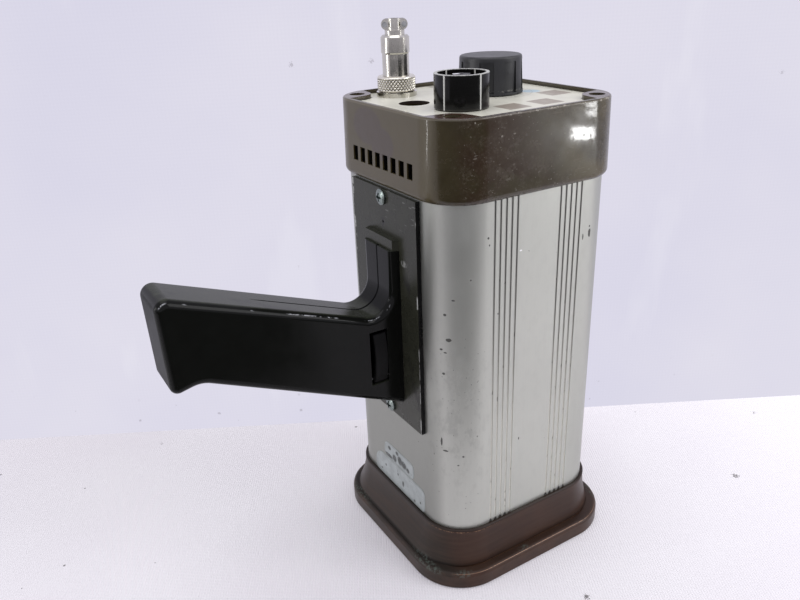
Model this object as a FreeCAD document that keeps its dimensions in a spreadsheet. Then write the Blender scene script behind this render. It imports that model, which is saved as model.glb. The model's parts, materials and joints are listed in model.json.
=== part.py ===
import FreeCAD, Part
import math
import os
from types import SimpleNamespace

import Sketcher

# Hand-held xenon stroboscope, standing on its lamp end.
# Millimetres, +Z up along the housing towards the control panel, origin at the centre of the lamp
# opening on the face it stands on, pistol grip towards -X, grooved faces towards -Y and +Y.

doc = FreeCAD.newDocument("Stroboscope")
sheet = doc.addObject("Spreadsheet::Sheet", "Sizes")
pieces = []


class Formula:
    """A size: its number, and the text of the sheet formula that gives the same number."""

    def __init__(self, number, text):
        self.number = number
        self.text = text

    def joined(self, other, sign, number):
        return Formula(number, "(" + self.text + " " + sign + " " + text_of(other) + ")")

    def __add__(self, other):
        return self.joined(other, "+", self.number + number_of(other))

    def __sub__(self, other):
        return self.joined(other, "-", self.number - number_of(other))

    def __mul__(self, other):
        return self.joined(other, "*", self.number * number_of(other))

    def __truediv__(self, other):
        return self.joined(other, "/", self.number / number_of(other))

    def __neg__(self):
        return Formula(-self.number, "(-1 * " + self.text + ")")

    def __radd__(self, other):
        return self + other

    def __rsub__(self, other):
        return -self + other

    def __rmul__(self, other):
        return self * other


def number_of(value):
    return value.number if isinstance(value, Formula) else float(value)


def text_of(value):
    return value.text if isinstance(value, Formula) else repr(value)


def root(value):
    return Formula(math.sqrt(value.number), "sqrt(" + value.text + ")")


def slope_angle(rise, run):
    """The angle in degrees of a face that leans by rise over a length of run."""
    lean = rise / run
    return Formula(math.degrees(math.atan(lean.number)), "atan(" + lean.text + ")")


def enter_sizes(sizes):
    """Puts each named size into its own sheet cell and gives back the formulas that read them."""
    found = {}
    for row, (name, number) in enumerate(sizes.items(), start=1):
        cell = "B" + str(row)
        sheet.set("A" + str(row), name)
        sheet.set(cell, str(number))
        sheet.setAlias(cell, name)
        found[name] = Formula(float(number), "Sizes." + name)
    return SimpleNamespace(**found)


# Driving dimensions, in the order in which the instrument is put together.
SIZES = {
    "fit_gap": 0.1,  # clearance between pieces that slide into each other
    "running_gap": 0.05,  # radial clearance of a turning shaft
    "overrun": 1.0,  # how far every cut runs past the face it leaves

    # Square aluminium tube
    "body_width": 100.0,  # outside width of the square tube
    "body_corner": 21.0,  # outside corner radius of the tube
    "body_wall": 2.0,  # wall of the tube
    "body_exposed": 172.1,  # length of tube that shows between the bezel and the cap
    "body_insert": 7.5,  # length of tube hidden in the bezel and in the cap
    "groove_width": 0.9,  # width of one decorative groove
    "groove_depth": 0.5,  # depth of one decorative groove
    "groove_pitch": 3.15,  # spacing of the grooves in a group
    "groove_offset": 18.8,  # middle of a groove group from the middle of the face
    "groove_count": 5,  # grooves in one group
    "channel_radius": 4.2,  # outside radius of a screw channel in the tube's corner
    "channel_bore": 1.7,  # radius of the hole in a screw channel
    "screw_offset": 40.4,  # corner screws from the two centre planes
    "handle_wire_bore": 4.0,  # radius of the wire hole behind the handle

    # Front bezel
    "bezel_height": 30.4,  # height of the bezel
    "flange_height": 9.5,  # thickness of the bezel's flange
    "flange_overhang": 9.5,  # how far the flange stands out from the tube
    "flange_corner": 28.0,  # corner radius of the flange
    "flange_round": 2.4,  # rounding of the flange's upper edge
    "flange_foot_round": 1.2,  # rounding of the flange's lower edge
    "skirt_lip": 1.2,  # thickness of the bezel's upper edge around the tube
    "skirt_flare": 2.4,  # how far the skirt spreads from its upper edge to the flange
    "ledge_groove": 1.2,  # width of the groove at the foot of the skirt
    "ledge_groove_depth": 0.7,  # depth of the groove at the foot of the skirt
    "lens_opening": 42.0,  # radius of the lamp opening
    "lens_recess": 4.0,  # depth of the recess in front of the window
    "lens_radius": 44.8,  # radius of the window
    "lens_thickness": 3.0,  # thickness of the window
    "gasket_thickness": 1.5,  # thickness of the rubber ring
    "gasket_width": 3.0,  # radial width of the rubber ring
    "retainer_thickness": 1.5,  # thickness of the reflector's snap ring
    "retainer_seat": 1.2,  # depth of the snap ring's groove
    "retainer_gap": 12.0,  # opening of the snap ring between its ends
    "bezel_counterbore": 4.0,  # radius of the recess for a bezel screw head
    "bezel_counterbore_depth": 14.0,  # depth of the recess for a bezel screw head
    "corner_screw_shank": 1.6,  # shank radius of the corner screws
    "corner_screw_hole": 2.1,  # radius of the clearance hole for a corner screw
    "corner_screw_head": 3.4,  # head radius of the corner screws
    "corner_screw_head_height": 2.6,  # head height of the corner screws
    "bezel_screw_length": 24.0,  # length of a bezel screw under its head
    "cap_screw_length": 36.0,  # length of a cap screw under its head
    "recess_arm": 0.55,  # half width of a cross recess arm
    "recess_depth": 1.3,  # depth of a cross recess

    # Rear cap
    "cap_height": 36.5,  # height of the cap
    "cap_overhang": 1.9,  # how far the cap stands out from the tube at its lower edge
    "cap_taper": 0.7,  # how much the cap narrows on each side towards its top
    "cap_corner": 21.9,  # corner radius of the cap's lower edge
    "cap_foot_round": 3.0,  # rounding of the cap's lower edge
    "cap_top_round": 0.9,  # rounding of the cap's upper edge
    "cap_wall": 3.4,  # wall of the cap above the tube
    "cap_floor": 2.5,  # thickness of the cap's floor under the panel
    "rim_width": 2.2,  # width of the rim around the panel
    "rim_height": 2.0,  # height of the rim above the panel
    "panel_thickness": 1.5,  # thickness of the control panel
    "panel_gap": 0.2,  # gap around the control panel
    "pad_reach": 31.8,  # inner end of a corner pad from the centre plane
    "pad_edge": 33.2,  # inner edge of a corner pad from the centre plane
    "pad_bend": 41.0,  # where a corner pad's edge starts to bend, from the centre plane
    "pad_bend_radius": 8.6,  # radius of the bend in a corner pad's edge
    "column_radius": 6.2,  # radius of a corner column inside the cap
    "cap_counterbore": 3.75,  # radius of the recess for a cap screw head
    "cap_counterbore_depth": 6.0,  # depth of the recess for a cap screw head
    "vent_count": 8,  # vent slots on one side
    "vent_pitch": 6.9,  # spacing of the vent slots
    "vent_width": 4.4,  # width of a vent slot
    "vent_height": 7.0,  # height of a vent slot
    "vent_level": 12.1,  # middle of the vent slots above the cap's lower edge
    "spare_hole_x": -27.8,  # empty panel hole, across the panel
    "spare_hole_y": 8.2,  # empty panel hole, along the panel
    "spare_hole_radius": 7.3,  # radius of the empty panel hole

    # Frequency control
    "frequency_x": 17.2,  # frequency knob, across the panel
    "frequency_y": 8.6,  # frequency knob, along the panel
    "bushing_radius": 4.5,  # radius of a control's threaded bushing
    "bushing_rise": 4.6,  # how far a bushing stands above the panel
    "nut_corner": 6.6,  # corner radius of a control nut
    "nut_height": 2.0,  # height of a control nut
    "shaft_radius": 3.0,  # radius of a control shaft
    "knob_rise": 0.5,  # gap between a knob and the panel
    "knob_cavity_depth": 5.2,  # depth of the cavity under a knob
    "frequency_knob_radius": 16.0,  # radius of the frequency knob at its foot
    "frequency_knob_taper": 0.8,  # how much the frequency knob narrows towards its top
    "frequency_knob_height": 17.6,  # height of the frequency knob
    "frequency_knob_round": 1.2,  # rounding of the frequency knob's top edge
    "frequency_knob_cavity": 10.0,  # radius of the cavity under the frequency knob
    "frequency_shaft_grip": 8.0,  # length of shaft held in the frequency knob
    "flute_count": 8,  # recessed panels around the frequency knob
    "flute_angle": 26.0,  # angle of one recessed panel, in degrees
    "flute_depth": 0.35,  # depth of a recessed panel
    "flute_foot": 1.0,  # solid ring below the recessed panels
    "flute_top": 2.4,  # solid ring above the recessed panels
    "grub_radius": 1.6,  # radius of the frequency knob's grub screw
    "grub_length": 5.0,  # length of the frequency knob's grub screw
    "grub_level": 8.2,  # height of the grub screw above the knob's foot
    "potentiometer_radius": 12.0,  # radius of the potentiometer's can
    "potentiometer_height": 11.0,  # height of the potentiometer's can
    "shaft_inside": 6.0,  # length of a control shaft inside its body

    # Range control
    "range_x": -19.1,  # range knob, across the panel
    "range_y": -17.3,  # range knob, along the panel
    "range_knob_radius": 12.3,  # outside radius of the range knob
    "range_knob_height": 14.9,  # height of the range knob
    "range_knob_wall": 1.5,  # wall of the range knob
    "range_knob_floor": 2.0,  # thickness of the range knob's inner floor
    "range_knob_floor_level": 7.0,  # underside of the inner floor above the knob's foot
    "hub_radius": 5.4,  # radius of the range knob's brass hub
    "hub_rise": 2.0,  # how far the hub stands above the inner floor
    "hub_flange": 1.4,  # how far the hub's flange reaches under the inner floor
    "hub_flange_height": 1.2,  # thickness of the hub's flange
    "collet_corner": 4.4,  # corner radius of the collet nut
    "collet_height": 3.0,  # height of the collet nut
    "switch_radius": 13.5,  # radius of the rotary switch
    "switch_height": 16.0,  # height of the rotary switch
    "switch_deck_height": 3.0,  # thickness of one deck of the rotary switch

    # Socket and plug
    "socket_x": -21.1,  # socket, across the panel
    "socket_y": 34.6,  # socket, along the panel
    "socket_flange_radius": 10.0,  # radius of the socket's flange
    "socket_flange_height": 2.2,  # thickness of the socket's flange
    "socket_radius": 7.85,  # thread radius of the socket
    "socket_rise": 5.0,  # how far the socket stands above the panel
    "socket_length": 16.0,  # length of the socket below the panel
    "socket_bore": 6.6,  # bore radius of the socket
    "socket_nut_corner": 10.4,  # corner radius of the socket nut
    "socket_nut_height": 2.5,  # height of the socket nut
    "insulator_rise": 3.0,  # top of the socket's insulator above the panel
    "insulator_height": 9.0,  # height of the socket's insulator
    "contact_count": 4,  # contacts of the socket
    "contact_circle": 3.4,  # radius of the circle of contacts
    "contact_radius": 1.2,  # outside radius of a socket contact
    "contact_length": 15.0,  # length of a socket contact
    "contact_tail": 0.7,  # radius of a contact's solder tail
    "pin_radius": 0.7,  # radius of a plug pin
    "pin_reach": 6.0,  # how far a plug pin reaches into its contact
    "pin_length": 13.0,  # length of a plug pin
    "insert_height": 9.0,  # height of the plug's insert
    "ring_radius": 9.4,  # radius of the knurled coupling ring
    "ring_height": 7.2,  # height of the coupling ring
    "ring_chamfer": 0.6,  # bevel on the coupling ring's edges
    "knurl_count": 44,  # ridges around the coupling ring
    "knurl_depth": 0.25,  # depth of the coupling ring's ridges
    "knurl_margin": 1.0,  # plain band at each end of the ridges
    "shell_radius": 6.6,  # radius of the plug shell's lower part
    "shell_upper_radius": 7.0,  # radius of the plug shell's upper part
    "shell_wall": 0.9,  # wall of the plug shell
    "collar_radius": 7.7,  # radius of the collar that holds the coupling ring
    "collar_height": 1.6,  # height of the collar that holds the coupling ring
    "shell_step": 10.4,  # top of the shell's lower part above the ring
    "shell_top": 19.0,  # top of the shell above the ring
    "shell_chamfer": 1.0,  # bevel on the shell's top edge
    "clamp_turn": -31.0,  # angle of the cable clamp about the plug's axis, in degrees
    "clamp_neck": 4.8,  # radius of the clamp's neck
    "clamp_neck_height": 2.2,  # height of the clamp's neck
    "clamp_height": 5.2,  # height of the clamp's saddles
    "clamp_bore": 2.2,  # radius of the cable's passage
    "clamp_wall": 1.0,  # wall of the clamp's saddles
    "clamp_split": 1.0,  # gap between the two saddles
    "ear_reach": 3.8,  # middle of a clamp ear from the plug's axis
    "ear_thickness": 1.1,  # thickness of a clamp ear
    "clamp_screw_reach": 4.7,  # clamp screws from the plug's axis
    "clamp_screw_radius": 0.7,  # shank radius of a clamp screw
    "clamp_screw_head": 1.3,  # head radius of a clamp screw
    "clamp_screw_head_height": 1.1,  # head height of a clamp screw

    # Handle plate
    "plate_thickness": 2.2,  # thickness of the handle plate
    "plate_width": 57.2,  # width of the handle plate
    "plate_below_handle": 10.3,  # how far the handle plate reaches below the handle
    "plate_top_gap": 0.3,  # gap between the handle plate and the cap
    "plate_screw_inset": 3.9,  # plate screws from the plate's ends
    "plate_screw_shank": 1.9,  # shank radius of a plate screw
    "plate_screw_head": 3.8,  # head radius of a plate screw
    "plate_screw_head_height": 2.2,  # head height of a plate screw
    "plate_screw_length": 8.0,  # length of a plate screw under its head
    "punch_radius": 0.6,  # radius of the punch mark on the plate
    "punch_drop": 12.0,  # punch mark below the upper plate screw
    "punch_depth": 0.8,  # depth of the punch mark
    "lip_width": 24.6,  # width of the bar above the handle's neck
    "lip_height": 5.1,  # height of the bar above the handle's neck
    "lip_depth": 3.0,  # how far the bar stands out from the plate
    "lip_slope": 1.4,  # how far the bar's ends spread towards the plate

    # Handle
    "handle_width": 27.0,  # width of the handle
    "handle_bottom": 92.6,  # lower edge of the handle at the plate, above the base
    "neck_top": 175.4,  # top of the handle's neck above the base
    "neck_depth": 4.3,  # how far the neck stands out from the plate
    "grip_root": 140.2,  # where the grip's upper line meets the neck, above the base
    "grip_reach": 112.6,  # end of the grip from the plate
    "grip_end_top": 180.6,  # upper corner of the grip's end above the base
    "grip_tip_reach": 111.4,  # tip of the grip's hook from the plate
    "grip_tip": 134.6,  # tip of the grip's hook above the base
    "grip_hook_length": 12.9,  # length of the grip's hook, from its start to its tip
    "grip_hook": 137.4,  # start of the grip's hook above the base
    "grip_hook_round": 12.0,  # radius of the hollow before the hook
    "grip_tip_round": 3.2,  # rounding of the hook's tip
    "grip_end_round": 5.0,  # rounding of the grip's upper end
    "grip_root_round": 11.0,  # radius of the sweep from the grip to the neck
    "grip_edge_round": 3.6,  # rounding of the handle's long edges
    "handle_wall": 2.8,  # wall of the handle
    "handle_block": 8.0,  # solid part of the handle next to the plate
    "joining_boss": 3.6,  # radius of a boss for a joining screw
    "joining_screw_shank": 1.35,  # shank radius of a joining screw
    "joining_screw_hole": 1.5,  # radius of the hole for a joining screw
    "joining_screw_head": 2.7,  # head radius of a joining screw
    "joining_screw_head_height": 1.7,  # head height of a joining screw
    "joining_screw_length": 18.0,  # length of a joining screw under its head
    "joining_counterbore": 3.0,  # radius of the recess for a joining screw head
    "joining_counterbore_depth": 3.0,  # depth of the recess for a joining screw head
    "joint_a_reach": 22.0,  # first joining screw from the plate
    "joint_b_reach": 62.0,  # second joining screw from the plate
    "joint_c_reach": 98.0,  # third joining screw from the plate
    "mount_screw_y": 7.5,  # handle mounting screws from the centre plane
    "mount_screw_low": 100.0,  # lower mounting screws above the base
    "mount_screw_high": 144.0,  # upper mounting screws above the base
    "mount_screw_shank": 1.4,  # shank radius of a mounting screw
    "mount_screw_head": 2.8,  # head radius of a mounting screw
    "mount_screw_head_height": 1.4,  # head height of a mounting screw
    "mount_screw_length": 9.0,  # length of a mounting screw under its head

    # Thumb bar in the near side of the handle
    "window_reach": 13.2,  # middle of the thumb bar's window from the plate
    "window_width": 9.6,  # width of the thumb bar's window
    "window_low": 109.3,  # lower edge of the thumb bar's window above the base
    "window_height": 28.7,  # height of the thumb bar's window
    "bar_gap": 1.0,  # gap around the thumb bar
    "bar_sink": 0.4,  # how far the thumb bar's ends lie below the handle's face
    "bar_thickness": 2.6,  # thickness of the thumb bar at its ends
    "bar_bulge": 1.9,  # how far the thumb bar's middle bulges
    "bar_pin_radius": 0.7,  # radius of the thumb bar's pin
    "bar_pin_inset": 2.1,  # pin above the thumb bar's lower end
    "bar_pin_length": 12.6,  # length of the thumb bar's pin
    "plunger_radius": 1.25,  # radius of the switch plunger
    "plunger_level": 17.5,  # switch plunger above the thumb bar's pin
    "plunger_length": 5.2,  # length of the switch plunger
    "plunger_gap": 0.1,  # gap between the thumb bar and the plunger
    "micro_gap": 2.6,  # gap between the thumb bar and the switch body
    "micro_width": 6.4,  # width of the handle switch body
    "micro_depth": 9.0,  # depth of the handle switch body
    "micro_height": 16.0,  # height of the handle switch body
    "micro_plunger_bore": 4.6,  # depth of the plunger's bore in the switch body
    "micro_post_width": 6.0,  # width of the post that carries the handle switch
    "micro_post_height": 10.0,  # height of the post that carries the handle switch

    # Lamp
    "reflector_wall": 1.0,  # wall of the reflector
    "reflector_mouth": 42.5,  # inside radius of the reflector at its mouth
    "reflector_neck": 9.8,  # inside radius of the reflector's neck
    "reflector_depth": 50.0,  # depth of the reflector
    "reflector_collar": 3.0,  # height of the collar on the reflector's neck
    "reflector_steps": 14,  # facets of the reflector's curve
    "lamp_socket_radius": 16.0,  # radius of the ceramic lamp socket
    "lamp_socket_height": 10.0,  # height of the ceramic lamp socket
    "tube_radius": 2.9,  # radius of the flash tube
    "tube_bore": 2.0,  # bore radius of the flash tube
    "tube_spread": 6.0,  # radius of the flash tube's bend
    "tube_leg": 16.0,  # length of the flash tube's legs
    "electrode_length": 8.0,  # length of an electrode cap
    "electrode_wall": 0.5,  # wall of an electrode cap

    # Chassis and electronics
    "chassis_sheet": 1.5,  # sheet thickness of the chassis
    "chassis_width": 52.0,  # width of the chassis
    "chassis_top": 203.0,  # top of the chassis above the base
    "shelf_reach": 84.0,  # length of the chassis shelf
    "board_thickness": 1.6,  # thickness of the circuit board
    "board_width": 50.0,  # width of the circuit board
    "board_height": 96.0,  # height of the circuit board
    "board_lift": 10.0,  # circuit board above the shelf
    "spacer_radius": 3.0,  # radius of a board spacer
    "spacer_length": 6.0,  # length of a board spacer
    "board_inset": 5.0,  # board screws from the board's edges
    "board_screw_shank": 1.4,  # shank radius of a board screw
    "board_screw_head": 2.8,  # head radius of a board screw
    "board_screw_head_height": 1.8,  # head height of a board screw
    "storage_radius": 15.0,  # radius of the storage capacitor
    "storage_height": 62.0,  # height of the storage capacitor
    "storage_x": 4.0,  # storage capacitor, across the housing
    "storage_y": -17.5,  # storage capacitor, along the housing
    "clip_height": 12.0,  # height of the storage capacitor's clip
    "clip_wall": 1.2,  # wall of the storage capacitor's clip
    "clip_foot": 6.0,  # length of the clip's screwed feet
    "core_length": 40.0,  # length of the transformer core
    "core_width": 18.0,  # width of the transformer core
    "core_height": 34.0,  # height of the transformer core
    "core_limb": 7.0,  # width of the core's outer limbs
    "core_middle": 12.0,  # width of the core's middle limb
    "transformer_x": 8.0,  # transformer, across the housing
    "transformer_y": 19.0,  # transformer, along the housing
    "coil_bulge": 5.0,  # how far the coil stands out from the core
    "coil_gap": 0.4,  # gap between the coil and the core
    "strap_sheet": 1.0,  # thickness of the transformer's strap
    "strap_width": 10.0,  # width of the transformer's strap
    "strap_foot": 7.0,  # length of the strap's screwed feet
    "shelf_screw_shank": 1.4,  # shank radius of a shelf screw
    "shelf_screw_head": 2.6,  # head radius of a shelf screw
    "shelf_screw_head_height": 1.6,  # head height of a shelf screw
    "shelf_screw_length": 4.0,  # length of a shelf screw under its head
    "trigger_radius": 5.5,  # radius of the trigger coil
    "trigger_height": 20.0,  # height of the trigger coil
    "trigger_x": -27.0,  # trigger coil, across the housing
    "trigger_y": 19.0,  # trigger coil, along the housing
    "film_count": 3,  # film capacitors on the board
    "film_depth": 9.0,  # how far a film capacitor stands off the board
    "film_width": 26.0,  # width of a film capacitor
    "film_height": 11.0,  # height of a film capacitor
    "film_pitch": 15.0,  # spacing of the film capacitors
    "film_lift": 12.0,  # first film capacitor above the board's lower edge
    "sink_depth": 14.0,  # depth of the transistor's heat sink
    "sink_width": 30.0,  # width of the transistor's heat sink
    "sink_height": 22.0,  # height of the transistor's heat sink
    "sink_sheet": 1.5,  # sheet thickness of the heat sink
    "sink_lift": 64.0,  # heat sink above the board's lower edge
    "transistor_depth": 4.5,  # thickness of the power transistor
    "transistor_width": 10.0,  # width of the power transistor
    "transistor_height": 15.0,  # height of the power transistor
}
s = enter_sizes(SIZES)

# Shares of a size.
RECESS_SPAN_SHARE = 1.1  # length of a cross recess arm, of its head's radius
DOME_SHARE = 1.6  # radius of a domed head's face, of a full dome's radius
JOINT_HEIGHT_SHARES = (0.292, 0.469, 0.549)  # joining screws, of the grip's depth where they are
SKIRT_LEVEL_SHARES = (0, 0.25, 0.6, 1)  # heights of the skirt's sections, of the skirt's height
SLANT_SHARE = 1.15  # wall measured upright through the handle's slanting faces, of the wall

# Levels and faces that several pieces share.
body_half = s.body_width / 2
body_foot = s.bezel_height - s.body_insert
cap_foot = s.bezel_height + s.body_exposed
body_end = cap_foot + s.body_insert
cap_top = cap_foot + s.cap_height
panel_top = cap_top - s.rim_height
floor_top = panel_top - s.panel_thickness
floor_underside = floor_top - s.cap_floor
plate_face = -(body_half + s.plate_thickness)
plate_top = cap_foot - s.plate_top_gap
plate_foot = s.handle_bottom - s.plate_below_handle
plate_length = plate_top - plate_foot
upper_plate_screw = plate_top - s.plate_screw_inset
lower_plate_screw = plate_foot + s.plate_screw_inset
handle_half = s.handle_width / 2
grip_hook_reach = s.grip_tip_reach - s.grip_hook_length
lower_slope = (s.grip_hook - s.handle_bottom) / grip_hook_reach
upper_slope = (s.grip_end_top - s.grip_root) / (s.grip_reach - s.neck_depth)
lens_top = s.lens_recess + s.lens_thickness
gasket_top = lens_top + s.gasket_thickness
reflector_foot = gasket_top + s.reflector_wall
reflector_top = reflector_foot + s.reflector_depth
retainer_top = reflector_foot + s.retainer_thickness
shelf_underside = reflector_top + s.lamp_socket_height
shelf_top = shelf_underside + s.chassis_sheet
tube_inside = body_half - s.body_wall
bezel_bore = s.lens_radius + s.fit_gap
knob_foot = panel_top + s.knob_rise


def bind(target, name, value):
    """Ties one property to the sheet, or leaves it at zero."""
    if isinstance(value, Formula):
        target.setExpression(name, value.text)


def place(target, x=0, y=0, z=0, axis=None, angle=0):
    """Puts a piece at x, y, z, turned about an axis by an angle in degrees."""
    turn = FreeCAD.Rotation(axis or FreeCAD.Vector(0, 0, 1), number_of(angle))
    spot = FreeCAD.Vector(number_of(x), number_of(y), number_of(z))
    target.Placement = FreeCAD.Placement(spot, turn)
    for letter, value in (("x", x), ("y", y), ("z", z)):
        bind(target, "Placement.Base." + letter, value)
    bind(target, "Placement.Rotation.Angle", angle)
    return target


def named(label, target):
    """Gives a finished piece its name and puts it on the list of pieces to write."""
    target.Label = label
    pieces.append(target)
    return target


def new_body(label):
    return named(label, doc.addObject("PartDesign::Body", label))


def origin_part(body, role):
    return [part for part in body.Origin.OriginFeatures if part.Role == role][0]


class Drawing:
    """A sketch on one of a body's origin planes, at an offset, with every point tied to the sheet."""

    def __init__(self, body, plane, offset=0):
        self.body = body
        self.sketch = body.newObject("Sketcher::SketchObject", body.Name + "_sketch")
        self.sketch.AttachmentSupport = [(origin_part(body, plane + "_Plane"), "")]
        self.sketch.MapMode = "FlatFace"
        bind(self.sketch, "AttachmentOffset.Base.z", offset)

    def rule(self, kind, *given):
        return self.sketch.addConstraint(Sketcher.Constraint(kind, *given))

    def tie(self, kind, geometry, end, value):
        """Holds one coordinate of a point at a formula, or on the axis when it is zero."""
        if isinstance(value, Formula):
            spot = self.rule(kind, -1, 1, geometry, end, value.number)
            self.sketch.setExpression("Constraints[" + str(spot) + "]", value.text)
        else:
            self.rule("PointOnObject", geometry, end, -2 if kind == "DistanceX" else -1)

    def pin(self, geometry, end, x, y):
        if not isinstance(x, Formula) and not isinstance(y, Formula):
            self.rule("Coincident", geometry, end, -1, 1)
        else:
            self.tie("DistanceX", geometry, end, x)
            self.tie("DistanceY", geometry, end, y)

    def radius(self, geometry, value):
        spot = self.rule("Radius", geometry, value.number)
        self.sketch.setExpression("Constraints[" + str(spot) + "]", value.text)

    def circle(self, x, y, radius):
        centre = FreeCAD.Vector(number_of(x), number_of(y), 0)
        up = FreeCAD.Vector(0, 0, 1)
        shape = self.sketch.addGeometry(Part.Circle(centre, up, radius.number), False)
        self.pin(shape, 3, x, y)
        self.radius(shape, radius)
        return self

    def outline(self, points):
        """A closed outline. A point is (x, y), or (x, y, bend) where an arc of that radius leads to it,
        turning left, or right when the radius carries a minus sign."""
        spots = [FreeCAD.Vector(number_of(point[0]), number_of(point[1]), 0) for point in points]
        ends = []
        for place_in_list, point in enumerate(points):
            start, stop = spots[place_in_list - 1], spots[place_in_list]
            if len(point) == 2:
                line = self.sketch.addGeometry(Part.LineSegment(start, stop), False)
                ends.append((line, 1, 2))
            else:
                ends.append(self.arc(start, stop, point[2]))
        for place_in_list, point in enumerate(points):
            geometry, first, last = ends[place_in_list]
            before = ends[place_in_list - 1]
            self.rule("Coincident", before[0], before[2], geometry, first)
            self.pin(geometry, last, point[0], point[1])
        return self

    def arc(self, start, stop, bend):
        size = abs(bend.number)
        chord = stop - start
        rise = math.sqrt(max(size * size - chord.Length ** 2 / 4, 0))
        side = FreeCAD.Vector(-chord.y, chord.x, 0).normalize()
        left = bend.number > 0
        centre = (start + stop) / 2 + side * (rise if left else -rise)
        first, last = (start, stop) if left else (stop, start)
        angles = [math.atan2(spot.y - centre.y, spot.x - centre.x) for spot in (first, last)]
        circle = Part.Circle(centre, FreeCAD.Vector(0, 0, 1), size)
        shape = self.sketch.addGeometry(Part.ArcOfCircle(circle, angles[0], angles[1]), False)
        self.radius(shape, bend if left else -bend)
        return (shape, 1, 2) if left else (shape, 2, 1)

    def rectangle(self, left, low, right, high):
        return self.outline([(left, low), (right, low), (right, high), (left, high)])

    def rounded(self, half_x, half_y, corner):
        """A rectangle about the origin with rounded corners."""
        inner_x, inner_y = half_x - corner, half_y - corner
        return self.outline([
            (inner_x, -half_y), (half_x, -inner_y, corner), (half_x, inner_y), (inner_x, half_y, corner),
            (-inner_x, half_y), (-half_x, inner_y, corner), (-half_x, -inner_y),
            (-inner_x, -half_y, corner)])

    def feature(self, kind, **settings):
        made = self.body.newObject("PartDesign::" + kind, self.body.Name + "_" + kind)
        made.Profile = self.sketch
        for name, value in settings.items():
            if isinstance(value, Formula):
                bind(made, name, value)
            else:
                setattr(made, name, value)
        return made

    def pad(self, length, **settings):
        return self.feature("Pad", Length=length, **settings)

    def pocket(self, length=None, **settings):
        if length is None:
            return self.feature("Pocket", Type="ThroughAll", **settings)
        return self.feature("Pocket", Length=length, **settings)

    def turn(self, kind="Revolution", **settings):
        return self.feature(kind, ReferenceAxis=(self.sketch, ["V_Axis"]), **settings)


def around(body, feature, count, angle=360):
    """Repeats a feature about the body's upright axis."""
    doc.recompute()
    pattern = body.newObject("PartDesign::PolarPattern", body.Name + "_ring")
    pattern.Originals = [feature]
    pattern.Axis = (origin_part(body, "Z_Axis"), [""])
    pattern.Angle = angle
    if isinstance(count, Formula):
        bind(pattern, "Occurrences", count)
    else:
        pattern.Occurrences = count
    body.Tip = pattern
    return pattern


def mirrored(body, feature, role):
    """Repeats a feature on the other side of an origin plane."""
    doc.recompute()
    copy = body.newObject("PartDesign::Mirrored", body.Name + "_mirrored")
    copy.Originals = [feature]
    copy.MirrorPlane = (origin_part(body, role), [""])
    body.Tip = copy
    return copy


def rounded_edges(body, base, radius, chosen):
    """Rounds the edges of a feature that a test picks."""
    doc.recompute()
    names = ["Edge" + str(count) for count, edge in enumerate(base.Shape.Edges, start=1) if chosen(edge)]
    fillet = body.newObject("PartDesign::Fillet", body.Name + "_round")
    fillet.Base = (base, names)
    bind(fillet, "Radius", radius)
    return fillet


def near(value, wanted):
    return abs(value - number_of(wanted)) < number_of(s.fit_gap) / 4


def lies_level(edge, z):
    """True for an edge that lies all at one height."""
    return near(edge.BoundBox.ZMin, z) and near(edge.BoundBox.ZMax, z)


# Plain solids for parts that are drilled, sawn or stamped.
SIDEWAYS = {"x": (FreeCAD.Vector(0, 1, 0), 90), "y": (FreeCAD.Vector(1, 0, 0), -90), "z": (None, 0)}


def rod(radius, length, x=0, y=0, z=0, along="z"):
    """A cylinder from a point, along one axis."""
    made = doc.addObject("Part::Cylinder", "rod")
    bind(made, "Radius", radius)
    bind(made, "Height", length)
    axis, angle = SIDEWAYS[along]
    return place(made, x, y, z, axis, angle)


def block(x_size, y_size, z_size, x=0, y=0, z=0):
    """A box from its lowest corner."""
    made = doc.addObject("Part::Box", "block")
    bind(made, "Length", x_size)
    bind(made, "Width", y_size)
    bind(made, "Height", z_size)
    return place(made, x, y, z)


def hexagon(corner, height, x=0, y=0, z=0):
    made = doc.addObject("Part::Prism", "hexagon")
    made.Polygon = 6
    bind(made, "Circumradius", corner)
    bind(made, "Height", height)
    return place(made, x, y, z)


def joined(*parts):
    made = doc.addObject("Part::MultiFuse", "joined")
    made.Shapes = list(parts)
    return made


def cut(base, *tools):
    made = doc.addObject("Part::Cut", "cut")
    made.Base = base
    made.Tool = tools[0] if len(tools) == 1 else joined(*tools)
    return made


def together(*parts):
    """Separate solids that share one name."""
    made = doc.addObject("Part::Compound", "together")
    made.Links = list(parts)
    return made


def domed(head, head_height, x, y, z):
    """A round head on a wall at x that faces -X, with a domed outer face."""
    ball_radius = (head * head + head_height * head_height) / (head_height * 2) * DOME_SHARE
    ball = doc.addObject("Part::Sphere", "ball")
    bind(ball, "Radius", ball_radius)
    place(ball, x - head_height + ball_radius, y, z)
    made = doc.addObject("Part::MultiCommon", "domed")
    made.Shapes = [rod(head, head_height, x - head_height, y, z, "x"), ball]
    return made


def turned(label, profile, x=0, y=0, z=0):
    """A body turned about its own upright axis. The profile is a list of (radius, height) points."""
    body = new_body(label)
    Drawing(body, "XZ").outline(profile).turn()
    return place(body, x, y, z)


def screw(head, head_height, shank, length, x, y, z, along, towards):
    """A cross-recess screw. The seat of its head is at x, y, z and its shank points towards + or -."""
    spot = {"x": x, "y": y, "z": z}
    low = dict(spot)
    top = dict(spot)
    recess = dict(spot)
    if towards > 0:
        top[along] = spot[along] - head_height
        recess[along] = spot[along] - head_height
    else:
        low[along] = spot[along] - length
        recess[along] = spot[along] + head_height - s.recess_depth
    body = joined(rod(head, head_height, top["x"], top["y"], top["z"], along),
                  rod(shank, length, low["x"], low["y"], low["z"], along))
    return cut(body, *cross(head, recess, along))


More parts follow.
